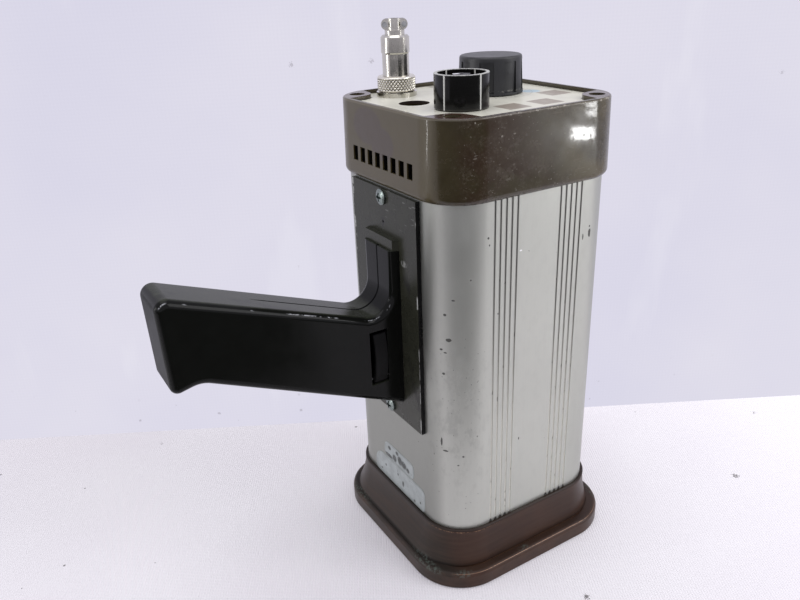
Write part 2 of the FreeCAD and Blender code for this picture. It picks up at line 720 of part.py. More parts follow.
def cross(head, spot, along):
    """The two crossed bars of a screw's recess."""
    bars = []
    for across in "xyz".replace(along, ""):
        size = {"x": s.recess_arm * 2, "y": s.recess_arm * 2, "z": s.recess_arm * 2}
        size[along] = s.recess_depth
        size[across] = head * RECESS_SPAN_SHARE
        corner = {}
        for letter in "xyz":
            corner[letter] = spot[letter] if letter == along else spot[letter] - size[letter] / 2
        bars.append(block(size["x"], size["y"], size["z"], corner["x"], corner["y"], corner["z"]))
    return bars


def corner_places():
    """The four corner screw axes, as pairs of formulas."""
    return [(s.screw_offset, s.screw_offset), (-s.screw_offset, s.screw_offset),
            (-s.screw_offset, -s.screw_offset), (s.screw_offset, -s.screw_offset)]


def make_body_extrusion():
    """Square tube with corner screw channels, wire and screw holes, and fine grooves on two faces."""
    body = new_body("body_extrusion")
    length = body_end - body_foot
    inner = body_half - s.body_wall
    wall = Drawing(body, "XY")
    wall.rounded(body_half, body_half, s.body_corner)
    wall.rounded(inner, inner, s.body_corner - s.body_wall)
    wall.pad(length)
    channel = Drawing(body, "XY").circle(s.screw_offset, s.screw_offset, s.channel_radius).pad(length)
    around(body, channel, 4)
    bore = Drawing(body, "XY").circle(s.screw_offset, s.screw_offset, s.channel_bore).pocket(Reversed=True)
    around(body, bore, 4)
    grooves = Drawing(body, "XY")
    for side in (-1, 1):
        for count in range(int(s.groove_count.number)):
            step = s.groove_pitch * (count - (int(s.groove_count.number) - 1) / 2)
            middle = s.groove_offset * side + step
            grooves.rectangle(middle - s.groove_width / 2, -body_half - s.overrun,
                              middle + s.groove_width / 2, -body_half + s.groove_depth)
    mirrored(body, grooves.pocket(Reversed=True), "XZ_Plane")
    holes = Drawing(body, "YZ")
    for level in (lower_plate_screw, upper_plate_screw):
        holes.circle(0, level - body_foot, s.plate_screw_shank + s.fit_gap)
    middle = (s.mount_screw_low + s.mount_screw_high) / 2
    holes.circle(0, middle - body_foot, s.handle_wire_bore)
    for side in (-1, 1):
        for level in (s.mount_screw_low, s.mount_screw_high):
            holes.circle(s.mount_screw_y * side, level - body_foot, s.mount_screw_head + s.fit_gap)
    holes.pocket()
    place(body, 0, 0, body_foot)


def make_front_bezel():
    """Flared bezel: thick flange, concave skirt, square seat for the tube and round bore for the lamp."""
    body = new_body("front_bezel")
    flange_half = body_half + s.flange_overhang
    flange = Drawing(body, "XY").rounded(flange_half, flange_half, s.flange_corner).pad(s.flange_height)
    upper = rounded_edges(body, flange, s.flange_round, lambda edge: lies_level(edge, s.flange_height))
    rounded_edges(body, upper, s.flange_foot_round, lambda edge: lies_level(edge, 0))
    skirt_height = s.bezel_height - s.flange_height
    sections = []
    for share in SKIRT_LEVEL_SHARES:
        spread = s.skirt_lip + s.skirt_flare * ((1 - share) * (1 - share))
        half = body_half + spread
        level = s.flange_height + skirt_height * share
        sections.append(Drawing(body, "XY", level).rounded(half, half, s.body_corner + spread))
    sections[0].feature("AdditiveLoft", Sections=[drawing.sketch for drawing in sections[1:]])
    foot = body_half + s.skirt_lip + s.skirt_flare
    groove = Drawing(body, "XY", s.flange_height)
    groove.rounded(foot + s.ledge_groove, foot + s.ledge_groove, s.body_corner + s.skirt_lip + s.skirt_flare
                   + s.ledge_groove)
    groove.rounded(foot, foot, s.body_corner + s.skirt_lip + s.skirt_flare)
    groove.pocket(s.ledge_groove_depth)
    seat = body_half + s.fit_gap
    Drawing(body, "XY", s.bezel_height).rounded(seat, seat, s.body_corner + s.fit_gap).pocket(s.body_insert)
    Drawing(body, "XY", body_foot).circle(0, 0, bezel_bore).pocket(body_foot - s.lens_recess)
    Drawing(body, "XY", s.lens_recess).circle(0, 0, s.lens_opening).pocket(s.lens_recess + s.overrun)
    ring_seat = bezel_bore + s.retainer_seat
    Drawing(body, "XZ").rectangle(s.lens_opening, reflector_foot, ring_seat, retainer_top).turn("Groove")
    hole = Drawing(body, "XY").circle(s.screw_offset, s.screw_offset, s.corner_screw_hole)
    around(body, hole.pocket(Reversed=True), 4)
    recess = Drawing(body, "XY").circle(s.screw_offset, s.screw_offset, s.bezel_counterbore)
    around(body, recess.pocket(s.bezel_counterbore_depth, Reversed=True), 4)


def corner_pad(body, offset, grow):
    """The outline of one corner pad of the cap, grown by a gap where the panel is cut around it."""
    drawing = Drawing(body, "XY", offset)
    edge = s.pad_edge - grow
    inner = s.pad_reach - grow
    rim = cap_half_at_top() - s.rim_width / 2
    drawing.outline([
        (inner, rim, s.cap_corner - s.cap_taper - s.rim_width / 2), (edge, s.pad_bend),
        (s.pad_bend, edge, s.pad_bend_radius + grow), (rim, inner)])
    return drawing


def cap_half_at_top():
    return body_half + s.cap_overhang - s.cap_taper


def make_rear_cap():
    """Cap over the tube's upper end, with a rimmed recess for the panel and vent slots on two sides."""
    body = new_body("rear_cap")
    low_half = body_half + s.cap_overhang
    top_half = cap_half_at_top()
    top_corner = s.cap_corner - s.cap_taper
    lean = -slope_angle(s.cap_taper, s.cap_height)
    outer = Drawing(body, "XY").rounded(low_half, low_half, s.cap_corner).pad(s.cap_height, TaperAngle=lean)
    foot = rounded_edges(body, outer, s.cap_foot_round, lambda edge: lies_level(edge, 0))
    rounded_edges(body, foot, s.cap_top_round, lambda edge: lies_level(edge, s.cap_height))
    seat = body_half + s.fit_gap
    mouth = Drawing(body, "XY").rounded(seat, seat, s.body_corner + s.fit_gap)
    mouth.pocket(s.body_insert, Reversed=True)
    hollow = low_half - s.cap_wall
    hollow_top = floor_underside - cap_foot
    room = Drawing(body, "XY", s.body_insert).rounded(hollow, hollow, s.cap_corner - s.cap_wall)
    room.pocket(hollow_top - s.body_insert, Reversed=True)
    column = Drawing(body, "XY", s.body_insert).circle(s.screw_offset, s.screw_offset, s.column_radius)
    around(body, column.pad(hollow_top - s.body_insert), 4)
    recess = top_half - s.rim_width
    sunk = s.rim_height + s.panel_thickness
    Drawing(body, "XY", s.cap_height).rounded(recess, recess, top_corner - s.rim_width).pocket(sunk)
    around(body, corner_pad(body, floor_top - cap_foot, 0).pad(sunk), 4)
    hole = Drawing(body, "XY", s.cap_height).circle(s.screw_offset, s.screw_offset, s.corner_screw_hole)
    around(body, hole.pocket(), 4)
    bore = Drawing(body, "XY", s.cap_height).circle(s.screw_offset, s.screw_offset, s.cap_counterbore)
    around(body, bore.pocket(s.cap_counterbore_depth), 4)
    vents = Drawing(body, "YZ")
    for count in range(int(s.vent_count.number)):
        middle = s.vent_pitch * (count - (int(s.vent_count.number) - 1) / 2)
        vents.rectangle(middle - s.vent_width / 2, s.vent_level - s.vent_height / 2,
                        middle + s.vent_width / 2, s.vent_level + s.vent_height / 2)
    vents.pocket(Midplane=True)
    panel_holes(body, floor_top - cap_foot)
    place(body, 0, 0, cap_foot)


def panel_holes(body, level):
    """The holes for the socket, the two controls and the empty place, cut down from a level."""
    holes = Drawing(body, "XY", level)
    holes.circle(s.spare_hole_x, s.spare_hole_y, s.spare_hole_radius)
    holes.circle(s.socket_x, s.socket_y, s.socket_radius + s.fit_gap)
    holes.circle(s.frequency_x, s.frequency_y, s.bushing_radius + s.fit_gap)
    holes.circle(s.range_x, s.range_y, s.bushing_radius + s.fit_gap)
    holes.pocket(s.cap_floor + s.overrun)


def make_control_panel():
    """Painted plate on the cap's floor, cut around the corner pads."""
    body = new_body("control_panel")
    half = cap_half_at_top() - s.rim_width - s.panel_gap
    corner = s.cap_corner - s.cap_taper - s.rim_width - s.panel_gap
    Drawing(body, "XY").rounded(half, half, corner).pad(s.panel_thickness)
    around(body, corner_pad(body, s.panel_thickness, s.panel_gap).pocket(), 4)
    panel_holes(body, s.panel_thickness)
    place(body, 0, 0, floor_top)


def make_corner_screws():
    """Long screws into the tube's channels: four from the panel side and four from the lamp side."""
    cap_seat = cap_top - s.cap_counterbore_depth
    cap_screws = []
    bezel_screws = []
    for x, y in corner_places():
        cap_screws.append(screw(s.corner_screw_head, s.corner_screw_head_height, s.corner_screw_shank,
                                s.cap_screw_length, x, y, cap_seat, "z", -1))
        bezel_screws.append(screw(s.corner_screw_head, s.corner_screw_head_height, s.corner_screw_shank,
                                  s.bezel_screw_length, x, y, s.bezel_counterbore_depth, "z", 1))
    named("rear_cap_screws", together(*cap_screws))
    named("front_bezel_screws", together(*bezel_screws))


def make_window():
    """Clear window, rubber ring and the snap ring that holds the reflector on them."""
    named("lens_window", rod(s.lens_radius, s.lens_thickness, 0, 0, s.lens_recess))
    gasket = cut(rod(s.lens_radius, s.gasket_thickness, 0, 0, lens_top),
                 rod(s.lens_radius - s.gasket_width, s.gasket_thickness, 0, 0, lens_top))
    named("lens_gasket", gasket)
    outer = bezel_bore + s.retainer_seat - s.fit_gap
    inner = s.lens_radius - s.retainer_seat
    ring = cut(rod(outer, s.retainer_thickness, 0, 0, reflector_foot),
               rod(inner, s.retainer_thickness, 0, 0, reflector_foot),
               block(outer, s.retainer_gap, s.retainer_thickness, 0, -s.retainer_gap / 2, reflector_foot))
    named("reflector_snap_ring", ring)


def make_reflector():
    """Spun dish: a flat rim on the rubber ring, a parabola and a short collar."""
    steps = int(s.reflector_steps.number)
    focal = (s.reflector_mouth * s.reflector_mouth - s.reflector_neck * s.reflector_neck) / s.reflector_depth
    inside = []
    outside = []
    for count in range(steps + 1):
        height = s.reflector_depth * (count / steps)
        radius = root(s.reflector_mouth * s.reflector_mouth - focal * height)
        inside.append((radius, height))
        outside.append((radius + s.reflector_wall, height))
    outside[0] = (s.reflector_mouth + s.reflector_wall, 0)
    top = s.reflector_depth + s.reflector_collar
    profile = [(s.reflector_mouth, -s.reflector_wall)] + inside[1:]
    profile += [(s.reflector_neck, top), (s.reflector_neck + s.reflector_wall, top)]
    profile += outside[:0:-1]
    profile += [(s.reflector_mouth + s.reflector_wall, 0), (s.lens_radius, 0),
                (s.lens_radius, -s.reflector_wall)]
    turned("reflector", profile, 0, 0, reflector_foot)


def make_lamp():
    """Ceramic socket on the reflector's collar, bent glass tube and its two metal end caps."""
    collar = s.reflector_neck + s.reflector_wall + s.fit_gap
    socket_foot = reflector_top
    leg_room = s.tube_radius + s.electrode_wall + s.fit_gap
    ceramic = cut(rod(s.lamp_socket_radius, s.lamp_socket_height, 0, 0, socket_foot),
                  rod(collar, s.reflector_collar + s.fit_gap, 0, 0, socket_foot),
                  rod(leg_room, s.lamp_socket_height, -s.tube_spread, 0, socket_foot),
                  rod(leg_room, s.lamp_socket_height, s.tube_spread, 0, socket_foot))
    named("lamp_socket", ceramic)
    leg_top = shelf_underside - s.electrode_wall - s.fit_gap
    bend = leg_top - s.tube_leg
    named("flash_tube", cut(bent_tube(s.tube_radius, bend), bent_tube(s.tube_bore, bend)))
    caps = []
    for side in (-1, 1):
        x = s.tube_spread * side
        foot = leg_top - s.electrode_length + s.electrode_wall
        shell = rod(s.tube_radius + s.electrode_wall, s.electrode_length, x, 0, foot)
        room = rod(s.tube_radius, s.electrode_length - s.electrode_wall, x, 0, foot)
        caps.append(cut(shell, room))
    named("flash_tube_electrodes", together(*caps))


def bent_tube(radius, bend):
    """Two legs and the half circle that joins them below."""
    half_ring = doc.addObject("Part::Torus", "half_ring")
    bind(half_ring, "Radius1", s.tube_spread)
    bind(half_ring, "Radius2", radius)
    half_ring.Angle3 = 180
    place(half_ring, 0, 0, bend, FreeCAD.Vector(1, 0, 0), -90)
    return joined(rod(radius, s.tube_leg, -s.tube_spread, 0, bend),
                  rod(radius, s.tube_leg, s.tube_spread, 0, bend), half_ring)


def make_frequency_control():
    """Fluted knob on a potentiometer's shaft, with grub screw, nut and can."""
    body = new_body("frequency_knob")
    low = s.frequency_knob_radius
    top = s.frequency_knob_radius - s.frequency_knob_taper
    height = s.frequency_knob_height
    bend = s.frequency_knob_round
    bore_top = s.knob_cavity_depth + s.frequency_shaft_grip
    Drawing(body, "XZ").outline([
        (s.frequency_knob_cavity, 0), (low, 0), (top, height - bend), (top - bend, height, bend),
        (0, height), (0, bore_top + s.fit_gap), (s.shaft_radius + s.fit_gap, bore_top + s.fit_gap),
        (s.shaft_radius + s.fit_gap, s.knob_cavity_depth),
        (s.frequency_knob_cavity, s.knob_cavity_depth)]).turn()
    panel = Drawing(body, "XZ").rectangle(top - s.flute_depth, s.flute_foot, low + s.overrun,
                                          height - s.flute_top)
    around(body, panel.turn("Groove", Angle=s.flute_angle, Midplane=True), s.flute_count)
    Drawing(body, "XZ").circle(0, s.grub_level, s.grub_radius).pocket()
    place(body, s.frequency_x, s.frequency_y, knob_foot)
    grub_start = s.frequency_y + s.shaft_radius
    grub_z = knob_foot + s.grub_level
    slot = block(s.grub_radius * 2, s.recess_arm * 2, s.recess_arm * 2, s.frequency_x - s.grub_radius,
                 grub_start + s.grub_length - s.recess_arm * 2, grub_z - s.recess_arm)
    grub = cut(rod(s.grub_radius, s.grub_length, s.frequency_x, grub_start, grub_z, "y"), slot)
    named("frequency_knob_screw", grub)
    make_control("potentiometer", s.frequency_x, s.frequency_y, knob_foot + bore_top)
    can = rod(s.potentiometer_radius, s.potentiometer_height, s.frequency_x, s.frequency_y,
              floor_underside - s.potentiometer_height)
    named("potentiometer_body", cut(joined(can, bushing(s.frequency_x, s.frequency_y)),
                                    shaft_room(s.frequency_x, s.frequency_y)))


def bushing(x, y):
    """The threaded bushing of a control, from the cap's floor to above the nut."""
    return rod(s.bushing_radius, panel_top + s.bushing_rise - floor_underside, x, y, floor_underside)


def shaft_room(x, y):
    """The bore in which a control's shaft turns."""
    foot = floor_underside - s.shaft_inside - s.fit_gap
    return rod(s.shaft_radius + s.running_gap, panel_top + s.bushing_rise - foot, x, y, foot)


def make_control(name, x, y, shaft_top):
    """The shaft and the nut that a panel control has."""
    foot = floor_underside - s.shaft_inside
    named(name + "_shaft", rod(s.shaft_radius, shaft_top - foot, x, y, foot))
    nut = cut(hexagon(s.nut_corner, s.nut_height, x, y, panel_top),
              rod(s.bushing_radius + s.fit_gap, s.nut_height, x, y, panel_top))
    named(name + "_nut", nut)


def make_range_control():
    """Open tubular knob on a brass hub with a collet nut, on a rotary switch's shaft."""
    body = new_body("range_knob_sleeve")
    outer = s.range_knob_radius
    inner = outer - s.range_knob_wall
    low = s.range_knob_floor_level
    high = low + s.range_knob_floor
    hub_room = s.hub_radius + s.fit_gap
    Drawing(body, "XZ").outline([
        (inner, 0), (outer, 0), (outer, s.range_knob_height), (inner, s.range_knob_height), (inner, high),
        (hub_room, high), (hub_room, low), (inner, low)]).turn()
    place(body, s.range_x, s.range_y, knob_foot)
    hub_top = high + s.hub_rise
    hub_foot = low - s.hub_flange_height
    shaft_bore = s.shaft_radius + s.fit_gap
    turned("range_knob_hub", [
        (shaft_bore, hub_foot), (s.hub_radius + s.hub_flange, hub_foot), (s.hub_radius + s.hub_flange, low),
        (s.hub_radius, low), (s.hub_radius, hub_top), (shaft_bore, hub_top)],
        s.range_x, s.range_y, knob_foot)
    collet = cut(hexagon(s.collet_corner, s.collet_height, s.range_x, s.range_y,
                         knob_foot + hub_top),
                 rod(s.recess_arm * 2, s.recess_depth, s.range_x, s.range_y,
                     knob_foot + hub_top + s.collet_height - s.recess_depth))
    named("range_collet_nut", collet)
    make_control("rotary_switch", s.range_x, s.range_y, knob_foot + hub_top)
    gap = (s.switch_height - s.switch_deck_height * 3) / 2
    decks = [rod(s.switch_radius, s.switch_deck_height, s.range_x, s.range_y,
                 floor_underside - s.switch_deck_height - (s.switch_deck_height + gap) * count)
             for count in range(3)]
    core = rod(s.switch_radius / 2, s.switch_height, s.range_x, s.range_y, floor_underside - s.switch_height)
    named("rotary_switch_body", cut(joined(core, bushing(s.range_x, s.range_y), *decks),
                                    shaft_room(s.range_x, s.range_y)))


def contact_places():
    """The contact axes of the socket and plug, as pairs of formulas."""
    count = int(s.contact_count.number)
    places = []
    for number in range(count):
        angle = 2 * math.pi * (number + 0.5) / count
        places.append((s.socket_x + s.contact_circle * round(math.cos(angle), 6),
                       s.socket_y + s.contact_circle * round(math.sin(angle), 6)))
    return places


def make_socket():
    """Panel socket: flanged shell, insulator, contacts and nut."""
    foot = floor_underside - s.socket_length
    top = panel_top + s.socket_rise
    flange_top = s.socket_flange_height
    turned("socket_shell", [
        (s.socket_bore, foot - panel_top), (s.socket_radius, foot - panel_top), (s.socket_radius, 0),
        (s.socket_flange_radius, 0), (s.socket_flange_radius, flange_top), (s.socket_radius, flange_top),
        (s.socket_radius, top - panel_top), (s.socket_bore, top - panel_top)],
        s.socket_x, s.socket_y, panel_top)
    insulator_top = panel_top + s.insulator_rise
    insulator = rod(s.socket_bore - s.fit_gap, s.insulator_height, s.socket_x, s.socket_y,
                    insulator_top - s.insulator_height)
    holes = [rod(s.contact_radius + s.fit_gap, s.insulator_height, x, y, insulator_top - s.insulator_height)
             for x, y in contact_places()]
    named("socket_insulator", cut(insulator, *holes))
    contacts = []
    sleeve = s.insulator_height
    for x, y in contact_places():
        tail = rod(s.contact_tail, s.contact_length, x, y, insulator_top - s.contact_length)
        grip = rod(s.contact_radius, sleeve, x, y, insulator_top - sleeve)
        bore = rod(s.pin_radius + s.fit_gap, s.pin_reach + s.fit_gap, x, y,
                   insulator_top - s.pin_reach - s.fit_gap)
        contacts.append(cut(joined(tail, grip), bore))
    named("socket_contacts", together(*contacts))
    nut_foot = floor_underside - s.socket_nut_height
    nut = cut(hexagon(s.socket_nut_corner, s.socket_nut_height, s.socket_x, s.socket_y, nut_foot),
              rod(s.socket_radius + s.fit_gap, s.socket_nut_height, s.socket_x, s.socket_y, nut_foot))
    named("socket_nut", nut)


def make_plug():
    """Plug in the socket: shell, insert, pins, knurled ring and an empty cable clamp."""
    socket_top = panel_top + s.socket_rise
    ring_foot = panel_top + s.socket_flange_height + s.fit_gap * 2
    ring_top = ring_foot + s.ring_height
    collar_foot = socket_top + s.fit_gap
    collar_top = collar_foot + s.collar_height
    shell_top = ring_top + s.shell_top
    inner = s.shell_radius - s.shell_wall
    neck_bore = s.clamp_bore
    turned("plug_shell", [
        (inner, 0), (s.collar_radius, 0), (s.collar_radius, s.collar_height),
        (s.shell_radius, s.collar_height), (s.shell_radius, ring_top + s.shell_step - collar_foot),
        (s.shell_upper_radius, ring_top + s.shell_step + s.ring_chamfer - collar_foot),
        (s.shell_upper_radius, shell_top - s.shell_chamfer - collar_foot),
        (s.shell_upper_radius - s.shell_chamfer, shell_top - collar_foot),
        (neck_bore, shell_top - collar_foot), (neck_bore, shell_top - s.shell_chamfer * 2 - collar_foot),
        (inner, shell_top - s.shell_chamfer * 2 - s.shell_wall * 2 - collar_foot)],
        s.socket_x, s.socket_y, collar_foot)
    insert_foot = panel_top + s.insulator_rise + s.fit_gap
    insert = rod(inner - s.fit_gap, s.insert_height, s.socket_x, s.socket_y, insert_foot)
    holes = [rod(s.pin_radius + s.fit_gap, s.insert_height, x, y, insert_foot) for x, y in contact_places()]
    named("plug_insert", cut(insert, *holes))
    pin_foot = insert_foot - s.fit_gap - s.pin_reach
    pins = [rod(s.pin_radius, s.pin_length + s.fit_gap * 2, x, y, pin_foot) for x, y in contact_places()]
    named("plug_pins", together(*pins))
    make_coupling_ring(ring_foot, collar_top + s.fit_gap)
    make_cable_clamp(shell_top)


def make_coupling_ring(ring_foot, lip_foot):
    """Threaded ring with ridges around it and a lip over the shell's collar."""
    body = new_body("plug_coupling_ring")
    thread = s.socket_radius + s.fit_gap
    bevel = s.ring_chamfer
    top = s.ring_height
    neck = s.shell_radius + s.running_gap
    Drawing(body, "XZ").outline([
        (thread, 0), (s.ring_radius - bevel, 0), (s.ring_radius, bevel), (s.ring_radius, top - bevel),
        (s.ring_radius - bevel, top), (neck, top), (neck, lip_foot - ring_foot),
        (thread, lip_foot - ring_foot)]).turn()
    ridge = Drawing(body, "XZ").rectangle(s.ring_radius - s.knurl_depth, s.knurl_margin,
                                          s.ring_radius + s.overrun, top - s.knurl_margin)
    slot = ridge.turn("Groove", Angle=Formula(180.0, "180") / s.knurl_count, Midplane=True)
    around(body, slot, s.knurl_count)
    place(body, s.socket_x, s.socket_y, ring_foot)


def make_cable_clamp(foot):
    """Neck with a fixed saddle, a loose saddle and two screws. The passage between them is empty."""
    outer = s.clamp_bore + s.clamp_wall
    ear_radius = s.clamp_height / 2
    saddle_foot = foot + s.clamp_neck_height
    ear_level = saddle_foot + ear_radius
    ears = [rod(ear_radius, s.ear_thickness * 2 + s.clamp_split, s.ear_reach * side,
                -s.ear_thickness - s.clamp_split / 2, ear_level, "y") for side in (-1, 1)]
    solid = joined(rod(outer, s.clamp_height, 0, 0, saddle_foot), *ears)
    neck = rod(s.clamp_neck, s.clamp_neck_height, 0, 0, foot)
    passage = rod(s.clamp_bore, s.clamp_neck_height + s.clamp_height, 0, 0, foot)
    holes = [rod(s.clamp_screw_radius + s.fit_gap, s.ear_thickness * 2 + s.clamp_split,
                 s.clamp_screw_reach * side, -s.ear_thickness - s.clamp_split / 2, ear_level, "y")
             for side in (-1, 1)]
    span = s.ear_reach + ear_radius + s.overrun
    back_room = block(span * 2, span + s.clamp_split / 2, s.clamp_height, -span, -span, saddle_foot)
    front_room = block(span * 2, span + s.clamp_split / 2, s.clamp_height + s.clamp_neck_height, -span,
                       -s.clamp_split / 2, foot)
    fixed = joined(neck, cut(solid, back_room))
    loose = cut(solid, front_room)
    screws = []
    for side in (-1, 1):
        screws.append(joined(
            rod(s.clamp_screw_head, s.clamp_screw_head_height, s.clamp_screw_reach * side,
                -s.ear_thickness - s.clamp_split / 2 - s.clamp_screw_head_height, ear_level, "y"),
            rod(s.clamp_screw_radius, s.ear_thickness * 2 + s.clamp_split, s.clamp_screw_reach * side,
                -s.ear_thickness - s.clamp_split / 2, ear_level, "y")))
    for label, shape in (("cable_clamp", cut(fixed, passage, *holes)),
                         ("cable_clamp_saddle", cut(loose, passage, *holes)),
                         ("cable_clamp_screws", together(*screws))):
        place(named(label, shape), s.socket_x, s.socket_y, 0, None, s.clamp_turn)


def make_handle_plate():
    """Steel plate on the tube, with the bar that caps the handle's neck."""
    half = s.plate_width / 2
    lip_half = s.lip_width / 2
    plate = block(s.plate_thickness, s.plate_width, plate_length, plate_face, -half, plate_foot)
    body = doc.addObject("PartDesign::Body", "lip")
    bar = Drawing(body, "XY", s.neck_top + s.fit_gap)
    bar.outline([(plate_face - s.lip_depth, -lip_half), (plate_face, -lip_half - s.lip_slope),
                 (plate_face, lip_half + s.lip_slope), (plate_face - s.lip_depth, lip_half)])
    bar.pad(s.lip_height)
    room = s.plate_thickness
    holes = [rod(s.plate_screw_shank + s.fit_gap, room, plate_face, 0, level, "x")
             for level in (lower_plate_screw, upper_plate_screw)]
    holes += [rod(s.mount_screw_shank + s.fit_gap, room, plate_face, s.mount_screw_y * side, level, "x")
              for side in (-1, 1) for level in (s.mount_screw_low, s.mount_screw_high)]
    middle = (s.mount_screw_low + s.mount_screw_high) / 2
    holes.append(rod(s.handle_wire_bore, room, plate_face, 0, middle, "x"))
    holes.append(rod(s.punch_radius, s.punch_depth, plate_face, 0, upper_plate_screw - s.punch_drop, "x"))
    named("handle_plate", joined(cut(plate, *holes), body))
    screws = []
    for level in (lower_plate_screw, upper_plate_screw):
        head = domed(s.plate_screw_head, s.plate_screw_head_height, plate_face, 0, level)
        recess = {"x": plate_face - s.plate_screw_head_height, "y": 0, "z": level}
        shank = rod(s.plate_screw_shank, s.plate_screw_length, plate_face, 0, level, "x")
        screws.append(cut(joined(head, shank), *cross(s.plate_screw_head, recess, "x")))
    named("handle_plate_screws", together(*screws))


def handle_outline():
    """The handle seen from the side, from its foot at the plate round to the neck."""
    return [
        (plate_face, s.handle_bottom), (plate_face, s.neck_top), (plate_face - s.neck_depth, s.neck_top),
        (plate_face - s.neck_depth, s.grip_root), (plate_face - s.grip_reach, s.grip_end_top),
        (plate_face - s.grip_tip_reach, s.grip_tip), (plate_face - grip_hook_reach, s.grip_hook)]


def hollow_outline():
    """The handle's cavity seen from the side."""
    wall = s.handle_wall
    inner = plate_face - s.handle_block
    return [
        (inner, s.handle_bottom + s.handle_block * lower_slope + wall * SLANT_SHARE),
        (inner, s.grip_root + (s.handle_block - s.neck_depth) * upper_slope - wall * SLANT_SHARE),
        (plate_face - s.grip_reach + wall * 2, s.grip_end_top - wall * 3),
        (plate_face - s.grip_tip_reach + wall * 2, s.grip_tip + wall * 4),
        (plate_face - grip_hook_reach, s.grip_hook + wall * 2)]


def joint_places():
    """The joining screw axes, as pairs of formulas."""
    places = []
    for reach, share in zip((s.joint_a_reach, s.joint_b_reach, s.joint_c_reach), JOINT_HEIGHT_SHARES):
        low = s.handle_bottom + lower_slope * reach
        high = s.grip_root + upper_slope * (reach - s.neck_depth)
        places.append((plate_face - reach, low + (high - low) * share))
    return places


def handle_corner(edge, reach, level):
    """True for an edge across the handle at the given corner of its side view."""
    box = edge.BoundBox
    upright = box.XLength + box.ZLength < number_of(s.fit_gap)
    spot = edge.CenterOfMass
    return upright and near(spot.x, plate_face - reach) and near(spot.z, level)


def make_handle_half(label, far):
    """One moulded half of the grip, hollow, with bosses for the joining screws."""
    body = new_body(label)
    shape = Drawing(body, "XZ").outline(handle_outline()).pad(handle_half, Reversed=far)
    corners = ((grip_hook_reach, s.grip_hook, s.grip_hook_round),
               (s.grip_tip_reach, s.grip_tip, s.grip_tip_round),
               (s.grip_reach, s.grip_end_top, s.grip_end_round),
               (s.neck_depth, s.grip_root, s.grip_root_round))
    for reach, level, radius in corners:
        shape = rounded_edges(body, shape, radius, lambda edge: handle_corner(edge, reach, level))
    side = handle_half if far else -handle_half
    rounded_edges(body, shape, s.grip_edge_round, lambda edge: outer_edge(edge, side))
    hollow = Drawing(body, "XZ").outline(hollow_outline())
    hollow.pocket(handle_half - s.handle_wall, Reversed=not far)
    bosses = Drawing(body, "XZ")
    for x, z in joint_places():
        bosses.circle(x, z, s.joining_boss)
    bosses.pad(handle_half - s.handle_wall, Reversed=far)
    if far:
        finish_far_half(body)
    else:
        finish_near_half(body)
    drill_mounts(body, 1 if far else -1)


def outer_edge(edge, side):
    """True for the long edges between the handle's side face and its rim, but not those at the plate."""
    box = edge.BoundBox
    on_side = near(box.YMin, side) and near(box.YMax, side)
    at_plate = near(box.XMin, plate_face) or near(box.XMax, plate_face) and near(box.ZMin, s.neck_top)
    return on_side and not at_plate


def drill_mounts(body, side):
    """Pilot holes for the screws that come through the plate."""
    pilots = Drawing(body, "YZ", plate_face)
    for level in (s.mount_screw_low, s.mount_screw_high):
        pilots.circle(s.mount_screw_y * side, level, s.mount_screw_shank)
    pilots.pocket(s.mount_screw_length)


def finish_near_half(body):
    """Pilot holes in the bosses, and the window and pin bores of the thumb bar."""
    pilots = Drawing(body, "XZ")
    for x, z in joint_places():
        pilots.circle(x, z, s.joining_screw_shank)
    pilots.pocket(handle_half - s.handle_wall, Reversed=True)
    middle = plate_face - s.window_reach
    window = Drawing(body, "XZ")
    window.rectangle(middle - s.window_width / 2, s.window_low, middle + s.window_width / 2,
                     s.window_low + s.window_height)
    window.pocket(Reversed=True)
    bores = Drawing(body, "YZ", middle - s.bar_pin_length / 2)
    bores.circle(bar_pin_y(), bar_pin_z(), s.bar_pin_radius)
    bores.pocket(s.bar_pin_length, Reversed=True)


def finish_far_half(body):
    """Screw holes with head recesses, and the post that carries the handle switch."""
    middle = plate_face - s.window_reach
    post_top = -(bar_back() + s.micro_gap + s.micro_depth + s.fit_gap)
    post = Drawing(body, "XZ", post_top)
    half = s.micro_post_height / 2
    level = bar_pin_z() + s.plunger_level
    post.rectangle(middle - s.micro_post_width / 2, level - half,
                   middle + s.micro_post_width / 2, level + half)
    post.pad(handle_half - s.handle_wall + post_top, Reversed=True)
    holes = Drawing(body, "XZ")
    for x, z in joint_places():
        holes.circle(x, z, s.joining_screw_hole)
    holes.pocket(Reversed=False)
    recesses = Drawing(body, "XZ", -handle_half)
    for x, z in joint_places():
        recesses.circle(x, z, s.joining_counterbore)
    recesses.pocket(s.joining_counterbore_depth, Reversed=True)


def bar_face():
    return -handle_half + s.bar_sink


def bar_back():
    return bar_face() + s.bar_thickness


def bar_pin_y():
    return bar_face() + s.bar_thickness / 2


def bar_pin_z():
    return s.window_low + s.bar_gap + s.bar_pin_inset


def make_handle_screws():
    """Screws that join the two halves, and screws that hold them to the plate from inside."""
    seat = handle_half - s.joining_counterbore_depth
    joining = [screw(s.joining_screw_head, s.joining_screw_head_height, s.joining_screw_shank,
                     s.joining_screw_length, x, seat, z, "y", -1) for x, z in joint_places()]
    named("handle_joining_screws", together(*joining))
    mounting = [screw(s.mount_screw_head, s.mount_screw_head_height, s.mount_screw_shank - s.fit_gap / 2,
                      s.mount_screw_length, -body_half, s.mount_screw_y * side, level, "x", -1)
                for side in (-1, 1) for level in (s.mount_screw_low, s.mount_screw_high)]
    named("handle_mount_screws", together(*mounting))


